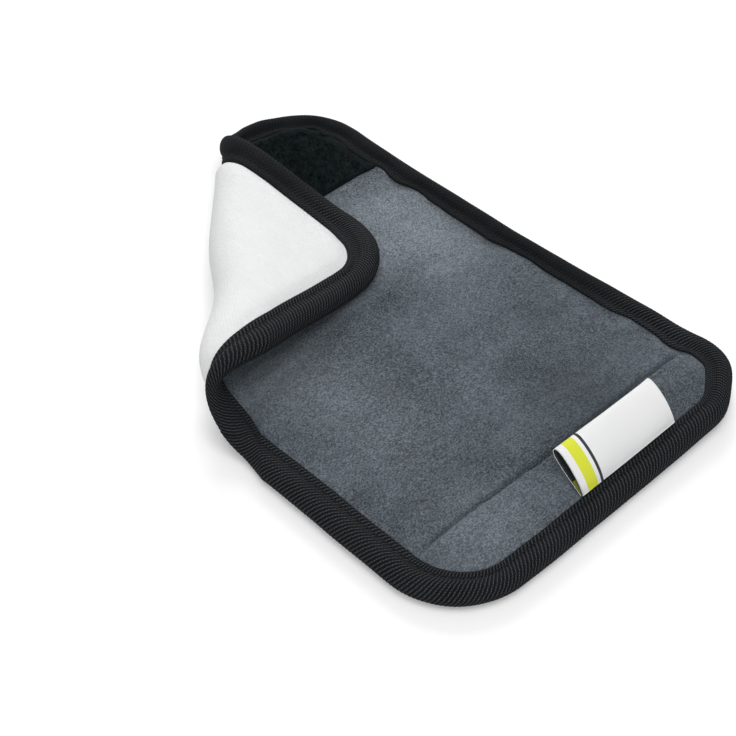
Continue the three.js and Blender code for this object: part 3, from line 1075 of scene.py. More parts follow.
@dataclass(frozen=True)
class Finish:
    """What every cloth finish here has: a name, a roughness and a soft sheen."""

    name: str
    roughness: float = 0.9
    sheen: float = 0.3
    sheen_roughness: float = 0.45
    gloss: float = 0.2
    sheen_colour: Colour = srgb(190, 198, 206)
    relief: float = 0.15 * MM
    relief_strength: float = 0.6

    def start(self) -> tuple[Material, NodeSheet, Node, Socket]:
        """Makes the material.

        Returns:
            The material, its sheet, its shader and the place on the flat cloth.
        """
        made = bpy.data.materials.new(self.name)
        made.use_nodes = True
        sheet = NodeSheet(made.node_tree)
        shader = made.node_tree.nodes["Principled BSDF"]
        shader.inputs["Roughness"].default_value = self.roughness
        shader.inputs["Specular IOR Level"].default_value = self.gloss
        shader.inputs["Sheen Weight"].default_value = self.sheen
        shader.inputs["Sheen Roughness"].default_value = self.sheen_roughness
        shader.inputs["Sheen Tint"].default_value = self.sheen_colour
        place = sheet.add("Attribute", attribute_name=FLAT).outputs["Vector"]
        return made, sheet, shader, place

    def use(self, sheet: NodeSheet, tree: Tree, **values: object) -> Node:
        """Places a shared node group with its own values.

        Args:
            sheet: the material's sheet.
            tree: the group.
            values: input names with _ for a space, and a number or a socket to link.

        Returns:
            The group's node.
        """
        node = sheet.tree.nodes.new("ShaderNodeGroup")
        node.node_tree = tree
        for name, value in values.items():
            sheet.feed(node.inputs[name.replace("_", " ")], value)
        return node

    def emboss(self, sheet: NodeSheet, shader: Node, height: Socket) -> None:
        """Turns a height into the surface's relief."""
        bump = sheet.add("Bump", Height=height, Strength=self.relief_strength, Distance=self.relief)
        sheet.feed(shader.inputs["Normal"], bump.outputs[0])


@dataclass(frozen=True)
class ToneSpot:
    """A soft spot of the flat pad whose colour is drawn lighter or darker, mostly for painted light and
    shade: its middle, reach and strength.
    """

    x: float
    y: float
    reach: float
    share: float


@dataclass(frozen=True)
class FleeceFinish(Finish):
    """Grey fleece, brushed, with patches where the pile lies another way, and soft spots of painted light,
    painted sheen and painted shadow.
    """

    dark: Colour = srgb(12, 17, 22)
    light: Colour = srgb(117, 127, 135)
    fibre: Colour = srgb(140, 148, 156)
    patch: float = 26 * MM
    # The two tones below colour the lighter spots, brushed pile and painted light, and the darker spots, one
    # of them a painted shadow.
    brushed_and_lit_tone: Colour = srgb(152, 160, 168)
    shadow_and_darker_tone: Colour = srgb(34, 40, 46)
    grain: float = 0.36 * MM
    patch_share: float = 0.42
    lint_size: float = 1.1 * MM
    lint_amount: float = 0.16
    lint_share: float = 0.3
    uneven: Span = (0.65, 1.3)
    rough_span: Span = (0.98, 0.82)
    # The lighter spots: brushed pile with a painted sheen over the far right, and painted light on the left,
    # where the flap's shadow and the lamps leave the fleece darker.
    brushed_and_lit_spots: tuple[ToneSpot, ...] = (
        ToneSpot(38 * MM, 20 * MM, 36 * MM, 0.6),
        ToneSpot(-29 * MM, -34 * MM, 30 * MM, 0.22),
        ToneSpot(-31 * MM, -6 * MM, 26 * MM, 0.26),
        ToneSpot(-34 * MM, -80 * MM, 28 * MM, 0.24),
    )
    # The darker spots: a painted shadow just past the label's crest, and a smaller darker spot further in.
    shadow_and_darker_spots: tuple[ToneSpot, ...] = (
        ToneSpot(18 * MM, -62 * MM, 28 * MM, 0.34),
        ToneSpot(37 * MM, -31 * MM, 13 * MM, 0.3),
    )

    def patches(self, sheet: NodeSheet, level: Socket, spots: tuple[ToneSpot, ...]) -> Socket:
        """The share of the lighter or darker tone spots at a place, which carry painted light and shade.

        Args:
            sheet: the material's sheet.
            level: the place on the flat pad, without its height.
            spots: the spots.

        Returns:
            Their strengths there, added up.
        """
        total = 0.0
        for spot in spots:
            away = sheet.add("VectorMath", operation="DISTANCE", i0=level, i1=(spot.x, spot.y, 0.0))
            fade = sheet.add("MapRange", interpolation_type="SMOOTHSTEP", Value=away.outputs["Value"],
                             From_Max=spot.reach, To_Min=spot.share, To_Max=0.0)
            total = sheet.math("ADD", total, fade.outputs[0])
        return total

    def material(self, groups: ClothNodes) -> Material:
        """Builds the fleece.

        Args:
            groups: the shared node groups.

        Returns:
            The material.
        """
        made, s, shader, place = self.start()
        nap = self.use(s, groups.nap, Place=place, Patch_Size=self.patch, Grain_Size=self.grain,
                       Patch_Share=self.patch_share)
        lint = self.use(s, groups.lint, Place=place, Size=self.lint_size, Amount=self.lint_amount)
        colour = s.mix(nap.outputs["Shade"], self.dark, self.light)
        level = s.stretch(place, (1.0, 1.0, 0.0))
        uneven = s.remap(nap.outputs["Shade"], 0.25, 0.75, self.uneven)
        # Mixes in the lighter and darker spots: painted light, painted sheen and a painted shadow.
        for spots, tone in ((self.brushed_and_lit_spots, self.brushed_and_lit_tone), (self.shadow_and_darker_spots, self.shadow_and_darker_tone)):
            colour = s.mix(s.times(self.patches(s, level, spots), uneven), colour, tone)
        colour = s.mix(s.times(lint.outputs["Specks"], self.lint_share), colour, self.fibre)
        s.feed(shader.inputs["Base Color"], colour)
        s.feed(shader.inputs["Roughness"], s.remap(nap.outputs["Grain"], 0, 1, self.rough_span))
        self.emboss(s, shader, nap.outputs["Height"])
        return made


@dataclass(frozen=True)
class TwillFinish(Finish):
    """Black twill tape: dotted ribs, painted a little lighter where they stand proud, which is a painted
    highlight.

    Attributes:
        pitch, float_pitch, slant: the ribs' pitch, that of the dots on them, and the twill's slant.
        rib_share, dot_share, base_share, nap_share: what the ribs, dots, ground and nap add to the tone;
        ribs, dots and ground make the painted highlight.
        calm_share, calm_span, calm_fade: how far the ribs' painted highlight fades as painted shade, and
            over which run of the edge.
    """

    dark: Colour = srgb(5, 6, 7)
    # light is the tone of the painted highlight on the ribs; the nap also mixes towards it.
    light: Colour = srgb(82, 85, 89)
    pitch: float = 1.18 * MM
    float_pitch: float = 0.62 * MM
    slant: float = 0.35
    patch: float = 14 * MM
    grain: float = 0.4 * MM
    patch_share: float = 0.45
    rib_share: float = 0.95
    dot_share: float = 0.65
    base_share: float = 0.1
    nap_share: float = 0.11
    rib_relief: float = 0.6
    rough_span: Span = (0.92, 0.7)
    calm_share: float = 0.85
    calm_span: Span = (0.0, 0.0)
    calm_fade: float = 25 * MM

    def material(self, groups: ClothNodes) -> Material:
        """Builds the tape.

        Args:
            groups: the shared node groups.

        Returns:
            The material.
        """
        made, s, shader, place = self.start()
        weave = self.use(s, groups.weave, Place=place, Pitch_U=self.pitch / 2, Pitch_V=self.float_pitch,
                         Slant=self.slant)
        nap = self.use(s, groups.nap, Place=place, Patch_Size=self.patch, Grain_Size=self.grain,
                       Patch_Share=self.patch_share)
        split = s.add("SeparateXYZ", Vector=place)
        turn = s.times(split.outputs[0], 2 * math.pi / self.pitch)
        rib = s.remap(s.math("COSINE", turn), -0.2, 1.0)
        # Over the calm run, along the right and far edges, the ribs' painted highlight is dimmed: painted
        # shade.
        low, high = self.calm_span
        calm = s.times(s.remap(split.outputs[0], low - self.calm_fade, low, (0, self.calm_share)),
                      s.remap(split.outputs[0], high, high + self.calm_fade, (1, 0)))
        rib = s.times(rib, s.math("SUBTRACT", 1.0, calm))
        # The ribs and the dots on them are painted lighter than the black ground: a painted highlight.
        dots = s.remap(weave.outputs["Height"], 0.45, 1.0)
        lit = s.math("ADD", s.times(dots, self.dot_share), self.base_share)
        lit = s.sum((s.times(lit, rib), self.rib_share), (nap.outputs["Shade"], self.nap_share))
        s.feed(shader.inputs["Base Color"], s.mix(lit, self.dark, self.light))
        s.feed(shader.inputs["Roughness"], s.remap(weave.outputs["Height"], 0, 1, self.rough_span))
        proud = s.times(rib, self.rib_relief)
        self.emboss(s, shader, s.math("ADD", weave.outputs["Height"], proud))
        return made


@dataclass(frozen=True)
class LiningFinish(Finish):
    """Smooth white knit, with hardly any pattern."""

    shade: Colour = srgb(226, 227, 228)
    white: Colour = srgb(243, 243, 243)
    stitch_pitch: float = 0.55 * MM
    patch: float = 17 * MM
    grain: float = 0.9 * MM
    patch_share: float = 0.7
    knit_share: float = 0.3
    nap_share: float = 0.7
    nap_relief: float = 0.8

    def material(self, groups: ClothNodes) -> Material:
        """Builds the lining.

        Args:
            groups: the shared node groups.

        Returns:
            The material.
        """
        made, s, shader, place = self.start()
        knit = self.use(s, groups.weave, Place=place, Pitch_U=self.stitch_pitch,
                        Pitch_V=self.stitch_pitch * WEFT_RATIO, Slant=0.0)
        nap = self.use(s, groups.nap, Place=place, Patch_Size=self.patch, Grain_Size=self.grain,
                       Patch_Share=self.patch_share)
        tone = s.sum((nap.outputs["Shade"], self.nap_share), (knit.outputs["Height"], self.knit_share))
        s.feed(shader.inputs["Base Color"], s.mix(tone, self.shade, self.white))
        pile = s.times(nap.outputs["Grain"], self.nap_relief)
        height = s.math("ADD", knit.outputs["Height"], pile)
        self.emboss(s, shader, height)
        return made


@dataclass(frozen=True)
class PileFinish(Finish):
    """Black pile of the loop tape, with a cold tint in its tips."""

    dark: Colour = srgb(2, 4, 4)
    light: Colour = srgb(20, 31, 32)
    patch: float = 4.2 * MM
    grain: float = 0.7 * MM
    patch_share: float = 0.55

    def material(self, groups: ClothNodes) -> Material:
        """Builds the pile.

        Args:
            groups: the shared node groups.

        Returns:
            The material.
        """
        made, s, shader, place = self.start()
        nap = self.use(s, groups.nap, Place=place, Patch_Size=self.patch, Grain_Size=self.grain,
                       Patch_Share=self.patch_share)
        s.feed(shader.inputs["Base Color"], s.mix(nap.outputs["Shade"], self.dark, self.light))
        self.emboss(s, shader, nap.outputs["Height"])
        return made


@dataclass(frozen=True)
class WovenFinish(Finish):
    """Plain woven tape or twisted thread in one colour."""

    dark: Colour = srgb(14, 15, 16)
    light: Colour = srgb(46, 48, 50)
    pitch: float = 0.4 * MM
    slant: float = 0.0
    gap_share: float = 0.5

    def material(self, groups: ClothNodes) -> Material:
        """Builds the weave.

        Args:
            groups: the shared node groups.

        Returns:
            The material.
        """
        made, s, shader, place = self.start()
        weave = self.use(s, groups.weave, Place=place, Pitch_U=self.pitch, Pitch_V=self.pitch,
                         Slant=self.slant)
        # Thread crowns are painted lighter and the gaps between threads darker: painted highlight and
        # painted shade.
        shade = s.times(weave.outputs["Gap"], self.gap_share)
        tone = s.math("SUBTRACT", weave.outputs["Height"], shade)
        s.feed(shader.inputs["Base Color"], s.mix(tone, self.dark, self.light))
        self.emboss(s, shader, weave.outputs["Height"])
        return made


@dataclass(frozen=True)
class RibbonFinish(Finish):
    """White woven ribbon with plain stripes; its reverse is dark, and yellow-green near the seam.

    The ribbon's flat place holds the distance across it, the distance along it and its side, which is
    0 on its face and REVERSE on its back.
    """

    REVERSE = 1 * MM

    white: Colour = srgb(250, 250, 250)
    stripe: Colour = srgb(232, 238, 52)
    line: Colour = srgb(38, 40, 44)
    reverse: Colour = srgb(16, 24, 24)
    reverse_low: Colour = srgb(170, 176, 40)
    stripe_span: Span = (-16.0 * MM, -12.4 * MM)
    line_span: Span = (-11.2 * MM, -10.3 * MM)
    low_reach: float = 4.2 * MM
    thread: float = 0.28 * MM
    gap_shade: Colour = srgb(120, 122, 124)
    gap_share: float = 0.12

    @staticmethod
    def band(sheet: NodeSheet, value: Socket, low: float, high: float) -> Socket:
        """1 between low and high and 0 elsewhere."""
        above = sheet.math("GREATER_THAN", value, low)
        return sheet.times(above, sheet.math("LESS_THAN", value, high))

    def material(self, groups: ClothNodes) -> Material:
        """Builds the ribbon.

        Args:
            groups: the shared node groups.

        Returns:
            The material.
        """
        made, s, shader, place = self.start()
        weave = self.use(s, groups.weave, Place=place, Pitch_U=self.thread,
                         Pitch_V=self.thread * WEFT_RATIO, Slant=0.0)
        split = s.add("SeparateXYZ", Vector=place)
        across, along, side = split.outputs
        face = s.mix(self.band(s, across, *self.stripe_span), self.white, self.stripe)
        face = s.mix(self.band(s, across, *self.line_span), face, self.line)
        low = s.math("LESS_THAN", along, self.low_reach)
        back = s.mix(low, self.reverse, self.reverse_low)
        colour = s.mix(s.math("GREATER_THAN", side, self.REVERSE / 2), face, back)
        shaded = s.mix(s.times(weave.outputs["Gap"], self.gap_share), colour, self.gap_shade)
        s.feed(shader.inputs["Base Color"], shaded)
        self.emboss(s, shader, weave.outputs["Height"])
        return made


def tube_faces(shape: tuple[int, int, int]) -> list[list[int]]:
    """Faces of closed tubes.

    Args:
        shape: the number of tubes, of rings on each and of points on each ring.

    Returns:
        Lists of point numbers.
    """
    index = np.arange(math.prod(shape)).reshape(shape)
    ahead = np.roll(index, -1, axis=2)
    walls = np.stack([index[:, :-1], ahead[:, :-1], ahead[:, 1:], index[:, 1:]], -1).reshape(-1, 4)
    caps = np.concatenate([index[:, 0, ::-1], index[:, -1, :]])
    return walls.tolist() + caps.tolist()


def run_along(line: Array) -> Array:
    """Distances along a line of points, from its start."""
    return np.concatenate([[0], np.cumsum(np.hypot(*np.diff(line, axis=0).T))])


@dataclass(frozen=True)
class Thread:
    """Short stitches along a run, as tapered tubes that dip into the cloth at both ends."""

    radius: float = 0.17 * MM
    length: float = 2.3 * MM
    pitch: float = 3.1 * MM
    lift: float = 0.2 * MM
    sides: int = 6
    steps: int = 6
    taper: float = 0.02
    twist: float = 3.0

    def build(self, name: str, start: float, end: float, place: Callable[[Array, Array, Array], Array],
              bend: Bend) -> Piece:
        """Sews the run.

        Args:
            name: the piece's name.
            start: where the run starts, as a distance along it.
            end: where it ends.
            place: maps distances along, across and up to points of the flat pad.
            bend: the fold's map.

        Returns:
            The new object.
        """
        count = int((end - start) / self.pitch)
        share = np.linspace(0, 1, self.steps)
        middle = start + self.pitch * (np.arange(count) + 0.5)
        turn = np.arange(self.sides) * 2 * math.pi / self.sides
        thick = self.radius * np.sqrt(np.clip(1 - (2 * share - 1) ** 4, self.taper, 1))
        arch = self.lift * np.sin(math.pi * share)
        shape = (count, self.steps, self.sides)
        along = np.broadcast_to(middle[:, None, None] + self.length * (share[None, :, None] - 0.5), shape)
        across = np.broadcast_to(thick[:, None] * np.cos(turn), shape)
        up = np.broadcast_to(arch[:, None] + thick[:, None] * np.sin(turn), shape)
        flat = place(along.ravel(), across.ravel(), up.ravel())
        pattern = np.column_stack([along.ravel(), across.ravel() * self.twist, up.ravel()])
        return add_object(name, bend(flat), tube_faces(shape), pattern)


@dataclass
class FaceSwell:
    """Swells the face between its seams by a short cloth simulation, which puckers it along them.

    Attributes:
        enlarged: how many times its size the sheet has while it is simulated.
        spare: share by which the cloth is longer than its seams.
        start_noise, hold: unevenness at the start, and the width beside the seams that is held.
        window: half width, in cells, of the mean that is taken off, so that the puckers are left.
        dome, pucker, most: how much of the swell and of its puckers is kept, and the most of both.
    """

    BELOW_LAST = 1e-6

    plan: PadPlan
    layers: PadLayers
    cell: float = 2.4 * MM
    enlarged: float = 10.0
    spare: float = 0.012
    pressure: float = 2.0
    frames: int = 30
    start_noise: float = 0.02 * MM
    hold: float = 0.5 * MM
    window: int = 3
    dome: float = 0.06
    pucker: float = 1.1
    most: float = 0.7 * MM

    def blurred(self, height: Array) -> Array:
        """Smooths a grid.

        Args:
            height: the grid's heights.

        Returns:
            Their means over a square window.
        """
        padded = np.pad(height, self.window, mode="edge")
        shifts = range(2 * self.window + 1)
        rows, columns = height.shape
        total = sum(padded[i:i + rows, j:j + columns] for i in shifts for j in shifts)
        return total / len(shifts) ** 2

    def simulate(self, x: Array, y: Array, held: Array) -> Array:
        """Blows up a sheet that is held along its seams.

        Args:
            x, y: places of the sheet's grid.
            held: where the grid is held.

        Returns:
            The sheet's heights on the grid.
        """
        noise = self.start_noise * np.random.default_rng(Seed.SWELL).random(x.shape)
        start = np.where(held, 0, noise)
        points = np.stack([x, y, start], -1).reshape(-1, 3) * self.enlarged
        index = np.arange(x.size).reshape(x.shape)
        cells = np.stack([index[:-1, :-1], index[1:, :-1], index[1:, 1:], index[:-1, 1:]], -1)
        mesh = bpy.data.meshes.new("swell_sheet")
        mesh.from_pydata(points.tolist(), [], cells.reshape(-1, 4).tolist())
        sheet = put("swell_sheet", mesh)
        seam = sheet.vertex_groups.new(name="seam")
        seam.add(np.flatnonzero(held.ravel()).tolist(), 1.0, "REPLACE")
        cloth = sheet.modifiers.new("cloth", "CLOTH")
        cloth.collision_settings.use_collision = False
        settings = cloth.settings
        settings.quality = 6
        settings.bending_stiffness = 3
        settings.bending_damping = 2
        settings.air_damping = 4
        settings.vertex_group_mass = "seam"
        settings.shrink_min = -self.spare
        settings.use_pressure = True
        settings.uniform_pressure_force = self.pressure
        settings.effector_weights.gravity = 0
        for number in range(1, self.frames + 1):
            bpy.context.scene.frame_set(number)
        blown = sheet.evaluated_get(bpy.context.evaluated_depsgraph_get()).data
        places = np.empty(3 * len(blown.vertices))
        blown.vertices.foreach_get("co", places)
        bpy.data.objects.remove(sheet)
        bpy.data.meshes.remove(mesh)
        bpy.context.scene.frame_set(1)
        return places.reshape(*x.shape, 3)[..., 2] / self.enlarged

    def run(self) -> Height:
        """Simulates the swell.

        Returns:
            The swell as a height over the flat pad.
        """
        half_x, half_y = self.plan.width / 2, self.plan.length / 2
        columns, rows = round(2 * half_x / self.cell), round(2 * half_y / self.cell)
        xs, ys = np.linspace(-half_x, half_x, columns + 1), np.linspace(-half_y, half_y, rows + 1)
        x, y = np.meshgrid(xs, ys, indexing="ij")
        layers = self.layers
        held = self.plan.inset(x, y) < layers.mouth(x, y) + self.hold
        held |= np.abs(y - layers.stitch_line) < self.cell / 2
        held |= y > layers.loop_line - self.hold
        blown = self.simulate(x, y, held)
        puckers = self.pucker * (blown - self.blurred(blown)) + self.dome * blown
        height = np.where(held, 0, self.most * np.tanh(puckers / self.most))

        def swell(at_x: Array, at_y: Array) -> Array:
            """The simulated height, read between the grid's points.

            Args:
                at_x, at_y: places of the plan.

            Returns:
                The height at each.
            """
            u = np.clip((at_x + half_x) / (2 * half_x) * columns, 0, columns - self.BELOW_LAST)
            v = np.clip((at_y + half_y) / (2 * half_y) * rows, 0, rows - self.BELOW_LAST)
            i, j = u.astype(int), v.astype(int)
            s, r = u - i, v - j
            low = height[i, j] * (1 - s) + height[i + 1, j] * s
            high = height[i, j + 1] * (1 - s) + height[i + 1, j + 1] * s
            return low * (1 - r) + high * r

        return swell


@dataclass
class PadPiece:
    """A piece of the pad, which follows the pad's outline, its folded corner and its layers."""

    plan: PadPlan
    fold: CornerFold
    layers: PadLayers


@dataclass
class PaddedFace(PadPiece):
    """The fleece face with its padding, soft between the binding and the stitch line."""

    step: float = 1.0 * MM
    border: float = 2.4 * MM
    crease_rows: tuple[float, ...] = (0.35 * MM, 0.7 * MM, 1.35 * MM, 1.7 * MM)
    fill: float = 0.45
    seam_end: float = 12 * MM
    thread: Thread = Thread(radius=0.15 * MM, lift=0.04 * MM)

    def build(self, finish: Material) -> None:
        """Builds and dresses the face.

        Args:
            finish: its material.
        """
        layers = self.layers
        rows = (layers.stitch_line, layers.loop_line)
        mesh = PlanMesh(self.plan, self.step, self.border, rows, self.crease_rows)
        face = mesh.solid("padded_face", everywhere, layers.cover_bottom, layers.cover_top, self.fold.bend)
        dress(face, finish, "fleece", "front_cover", "foam_padding")

    def sew(self, finish: Material) -> None:
        """Sews the line that holds the hook tape.

        Args:
            finish: the thread's material.
        """
        reach = self.plan.width / 2 - self.seam_end

        def place(along: Array, across: Array, up: Array) -> Array:
            """Points of the flat pad along the stitch line."""
            y = self.layers.stitch_line + self.layers.bow(along) + across
            return np.column_stack([along, y, self.layers.cover_top(along, y) + up])

        seam = self.thread.build("hook_tape_stitches", -reach, reach, place, self.fold.bend)
        dress(seam, finish, "fleece")


@dataclass
class FleeceNap(PadPiece):
    """Short fibres brushed along the belt, which stand out of the fleece.

    Attributes:
        foot, crown, sunk: half width of a fibre's foot, height of its back, and depth in the cloth.
        sway, patch_turn, against: how far fibres turn at random and by patches, and the share that
            lies the other way.
        rim, parting: distance kept from the binding and from the stitch line.
    """

    count: int = 47000
    length: Span = (0.45 * MM, 1.05 * MM)
    foot: float = 0.07 * MM
    lift: Span = (0.06 * MM, 0.34 * MM)
    crown: float = 0.12 * MM
    sunk: float = 0.02 * MM
    sway: float = 0.6
    patch_turn: float = 0.9
    against: float = 0.2
    rim: float = 0.4 * MM
    parting: float = 0.9 * MM

    def build(self, finish: Material) -> None:
        """Scatters the fibres over the bare fleece; each is a thin three-sided spike.

        Args:
            finish: their material.
        """
        random = np.random.default_rng(Seed.FIBRES)
        x = random.uniform(-self.plan.width / 2, self.plan.width / 2, 3 * self.count)
        y = random.uniform(-self.plan.length / 2, self.layers.loop_line, 3 * self.count)
        bare = self.plan.inset(x, y) > self.layers.mouth(x, y) + self.rim
        bare &= np.abs(y - self.layers.stitch_line - self.layers.bow(x)) > self.parting
        x, y = x[bare][: self.count], y[bare][: self.count]
        patches = SoftNoise(Seed.FIBRE_PATCHES, 14 * MM).at(x, y)
        heading = random.normal(0, self.sway, len(x)) + self.patch_turn * patches
        heading += math.pi * (random.uniform(0, 1, len(x)) < self.against)
        length = random.uniform(*self.length, len(x))
        lift = random.uniform(*self.lift, len(x))
        ahead = np.column_stack([np.cos(heading), np.sin(heading)])
        aside = np.column_stack([-ahead[:, 1], ahead[:, 0]])
        root = np.column_stack([x, y])
        corners = [root - aside * self.foot, root + aside * self.foot, root + ahead * self.foot * 2,
                   root + ahead * length[:, None]]
        ups = [-self.sunk, -self.sunk, self.crown, lift]
        blocks = []
        for corner, up in zip(corners, ups):
            ground = self.layers.cover_top(corner[:, 0], corner[:, 1])
            blocks.append(np.column_stack([corner, ground + up]))
        flat = np.stack(blocks, axis=1).reshape(-1, 3)
        index = np.arange(len(flat)).reshape(-1, 4)
        sides = [(0, 2, 1), (0, 1, 3), (1, 2, 3), (2, 0, 3)]
        faces = np.stack([index[:, side] for side in sides], axis=1).reshape(-1, 3)
        nap = add_object("fleece_nap", self.fold.bend(flat), faces.tolist(), flat)
        dress(nap, finish, "fleece")


@dataclass
class BackLining(PadPiece):
    """The white lining, one sheet caught in the binding all round."""

    step: float = 1.5 * MM
    border: float = 2.4 * MM

    def build(self, finish: Material) -> None:
        """Builds and dresses the lining.

        Args:
            finish: its material.
        """
        mesh, layers = PlanMesh(self.plan, self.step, self.border), self.layers
        lining = mesh.solid("lining", everywhere, layers.lining_bottom, layers.lining_top, self.fold.bend)
        dress(lining, finish, "lining", "back_lining")


@dataclass
class EdgeBinding(PadPiece):
    """Twill tape folded over the pad's edge: a round roll, a stitched groove and a flat lip on each face.

    Attributes:
        reach: inset of the lip's end in the plain section.
        slot_start, slot_end, slot_half: the slot inside the tape that holds the pad.
        rib_pitch, rib_height, rib_samples, ridge_power, slant: the ribs that cross the tape.
        groove_at, groove_span, groove_calm: where the groove lies and how far it calms the ribs.
        lip_start, lip_share: where the lip starts, and the share of the ribs' height on it.
        join_at: where the tape's ends meet on the outline.
        calm_span, calm_fade, calm_share: the run of the tape whose ribs are pressed flatter.
        wobble, wobble_stretch, sway, sway_row: fine and broad waver of the outline.
        thick_waver, thick_row: how far the tape's thickness varies.
        seam_inset, seam_rise: where the thread lies in the groove.
    """

    LIP_MM = ((8.0, 1.55), (8.05, 1.82), (7.8, 2.04), (7.35, 2.12), (6.9, 2.08), (6.5, 1.95))
    GROOVE_MM = ((6.2, 1.80), (5.92, 1.86))
    ROLL_DEG = (38, 180)

    roll_width: float = 6.0 * MM
    roll_half: float = 3.3 * MM
    reach: float = 8.0 * MM
    slot_half: float = 1.5 * MM
    slot_start: float = 5.2 * MM
    slot_end: float = 1.75 * MM
    rib_pitch: float = 1.18 * MM
    rib_height: float = 0.12 * MM
    rib_samples: int = 4
    ridge_power: float = 0.8
    slant: float = 0.65
    groove_at: float = 6.1 * MM
    groove_span: Span = (-1.2 * MM, -0.2 * MM)
    groove_calm: float = 0.85
    lip_start: float = 6.3 * MM
    lip_share: float = 0.7
    join_at: float = 405 * MM
    calm_span: Span = (245 * MM, 450 * MM)
    calm_fade: float = 25 * MM
    calm_share: float = 0.6
    roll_steps: int = 11
    wobble: float = 0.14 * MM
    wobble_stretch: float = 0.8
    sway: float = 0.3 * MM
    sway_row: float = 9 * MM
    thick_waver: float = 0.05
    thick_row: float = 7 * MM
    seam_inset: float = 6.15 * MM
    seam_rise: float = 1.78 * MM

    def section(self) -> tuple[Array, Array]:
        """The tape's section, drawn from the front lip over the roll to the back lip.

        Returns:
            Its outer and inner lines, each as inset and rise.
        """
        turns = np.radians(np.linspace(*self.ROLL_DEG, self.roll_steps))
        half = self.roll_width / 2
        roll = [(half + half * math.cos(a), self.roll_half * math.sin(a)) for a in turns]
        front = np.array([(d * MM, r * MM) for d, r in self.LIP_MM + self.GROOVE_MM] + roll)
        back = front[-2::-1] * np.array([1, -1])
        slot = [(self.slot_start, self.slot_half), (self.slot_end, self.slot_half)]
        inner = [(d, -r) for d, r in slot] + slot[::-1]
        return np.concatenate([front, back]), np.array(inner)

    def shape(self, u: Array, inset: Array, front: Array) -> Array:
        """Stretches the section's inset to the tape's real reach at places along the edge.

        Args:
            u: distances along the outline.
            inset: insets of the plain section.
            front: whether each point is on the front face.

        Returns:
            The insets to use.
        """
        points, normals = self.plan.outline(u)
        waves = self.layers.scallop(points[..., 0], points[..., 1])
        share = np.clip(inset / self.reach, 0, None)
        front_inset = self.layers.cover.at(normals) * share + waves * share ** 2
        back = self.layers.back_reach(points[..., 0], points[..., 1], normals)
        return np.where(front, front_inset, back * share)

    def place(self, u: Array, inset: Array, rise: Array, front: Array) -> Array:
        """Points of the section at places along the edge, before the fold.

        Args:
            u: distances along the outline.
            inset, rise: the section's points.
            front: whether each point is on the front face.

        Returns:
            Points of the flat pad.
        """
        uneven = 1 + self.thick_waver * self.layers.small.at(u, self.thick_row * np.ones_like(u))
        inset = self.shape(u, inset, front)
        bulge = self.wobble * self.layers.small.at(u * self.wobble_stretch, np.zeros_like(u))
        bulge = bulge + self.sway * self.layers.broad.at(u, self.sway_row * np.ones_like(u))
        flat = self.plan.rim(u, inset - bulge)
        thick = 1 - self.fold.flatten * self.fold.crest(flat[:, 0], flat[:, 1])
        return np.column_stack([flat, self.layers.middle + rise * uneven * thick])

    def build(self, finish: Material) -> None:
        """Builds the tape with its ribs and dresses it.

        Args:
            finish: its material.
        """
        outer, inner = self.section()
        ribs = round(self.plan.perimeter / self.rib_pitch)
        pitch = self.plan.perimeter / ribs
        count = ribs * self.rib_samples
        run = run_along(outer)
        v = run[-1] / 2 - run
        tangent = np.gradient(outer, axis=0)
        normal = np.column_stack([tangent[:, 1], -tangent[:, 0]])
        normal /= np.linalg.norm(normal, axis=1)[:, None]
        inward = np.sign((normal * (outer - [self.reach / 2, 0])).sum(axis=1))
        normal *= np.where(inward == 0, 1, inward)[:, None]
        in_groove = ramp(-np.abs(np.abs(outer[:, 0]) - self.groove_at), *self.groove_span)
        on_lip = np.where(outer[:, 0] > self.lip_start, self.lip_share, 1.0)
        weight = self.rib_height * (1 - self.groove_calm * in_groove) * on_lip
        base = self.join_at + np.arange(count) * pitch / self.rib_samples
        phase = 2 * math.pi * np.arange(count) / self.rib_samples
        ridge = (0.5 + 0.5 * np.cos(phase)) ** self.ridge_power
        along = base - self.join_at
        low, high = self.calm_span
        calm = ramp(along, low - self.calm_fade, low) * (1 - ramp(along, high, high + self.calm_fade))
        swell = ((ridge - 0.5) * (1 - self.calm_share * calm))[:, None] * weight[None, :]
        d = outer[None, :, 0] + swell * normal[None, :, 0]
        rise = outer[None, :, 1] + swell * normal[None, :, 1]
        u = base[:, None] + self.slant * v[None, :]
        slot_v = np.linspace(v[-1], v[0], len(inner) + 2)[1:-1]
        width = len(outer) + len(inner)
        u = np.hstack([u, base[:, None] + self.slant * slot_v[None, :]])
        d = np.hstack([d, np.broadcast_to(inner[:, 0], (count, len(inner)))])
        rise = np.hstack([rise, np.broadcast_to(inner[:, 1], (count, len(inner)))])
        pattern_u = np.broadcast_to(along[:, None], u.shape)
        pattern_v = np.broadcast_to(np.concatenate([v, slot_v]), u.shape)
        front = rise > 0
        flat = self.place(u.ravel(), d.ravel(), rise.ravel(), front.ravel())
        index = np.arange(count * width).reshape(count, width)
        ahead, aside = np.roll(index, -1, axis=0), np.roll(index, -1, axis=1)
        faces = np.stack([index, aside, np.roll(ahead, -1, axis=1), ahead], -1).reshape(-1, 4)
        pattern = np.column_stack([pattern_u.ravel(), pattern_v.ravel(), np.zeros(u.size)])
        tape = add_object("binding_tape", self.fold.bend(flat), faces.tolist(), pattern)
        dress(tape, finish, "binding", "edge_binding")

    def sew(self, finish: Material) -> None:
        """Sews the tape through its groove, on the front and on the back.

        Args:
            finish: the thread's material.
        """
        for name, sign in (("binding_stitches_front", 1.0), ("binding_stitches_back", -1.0)):

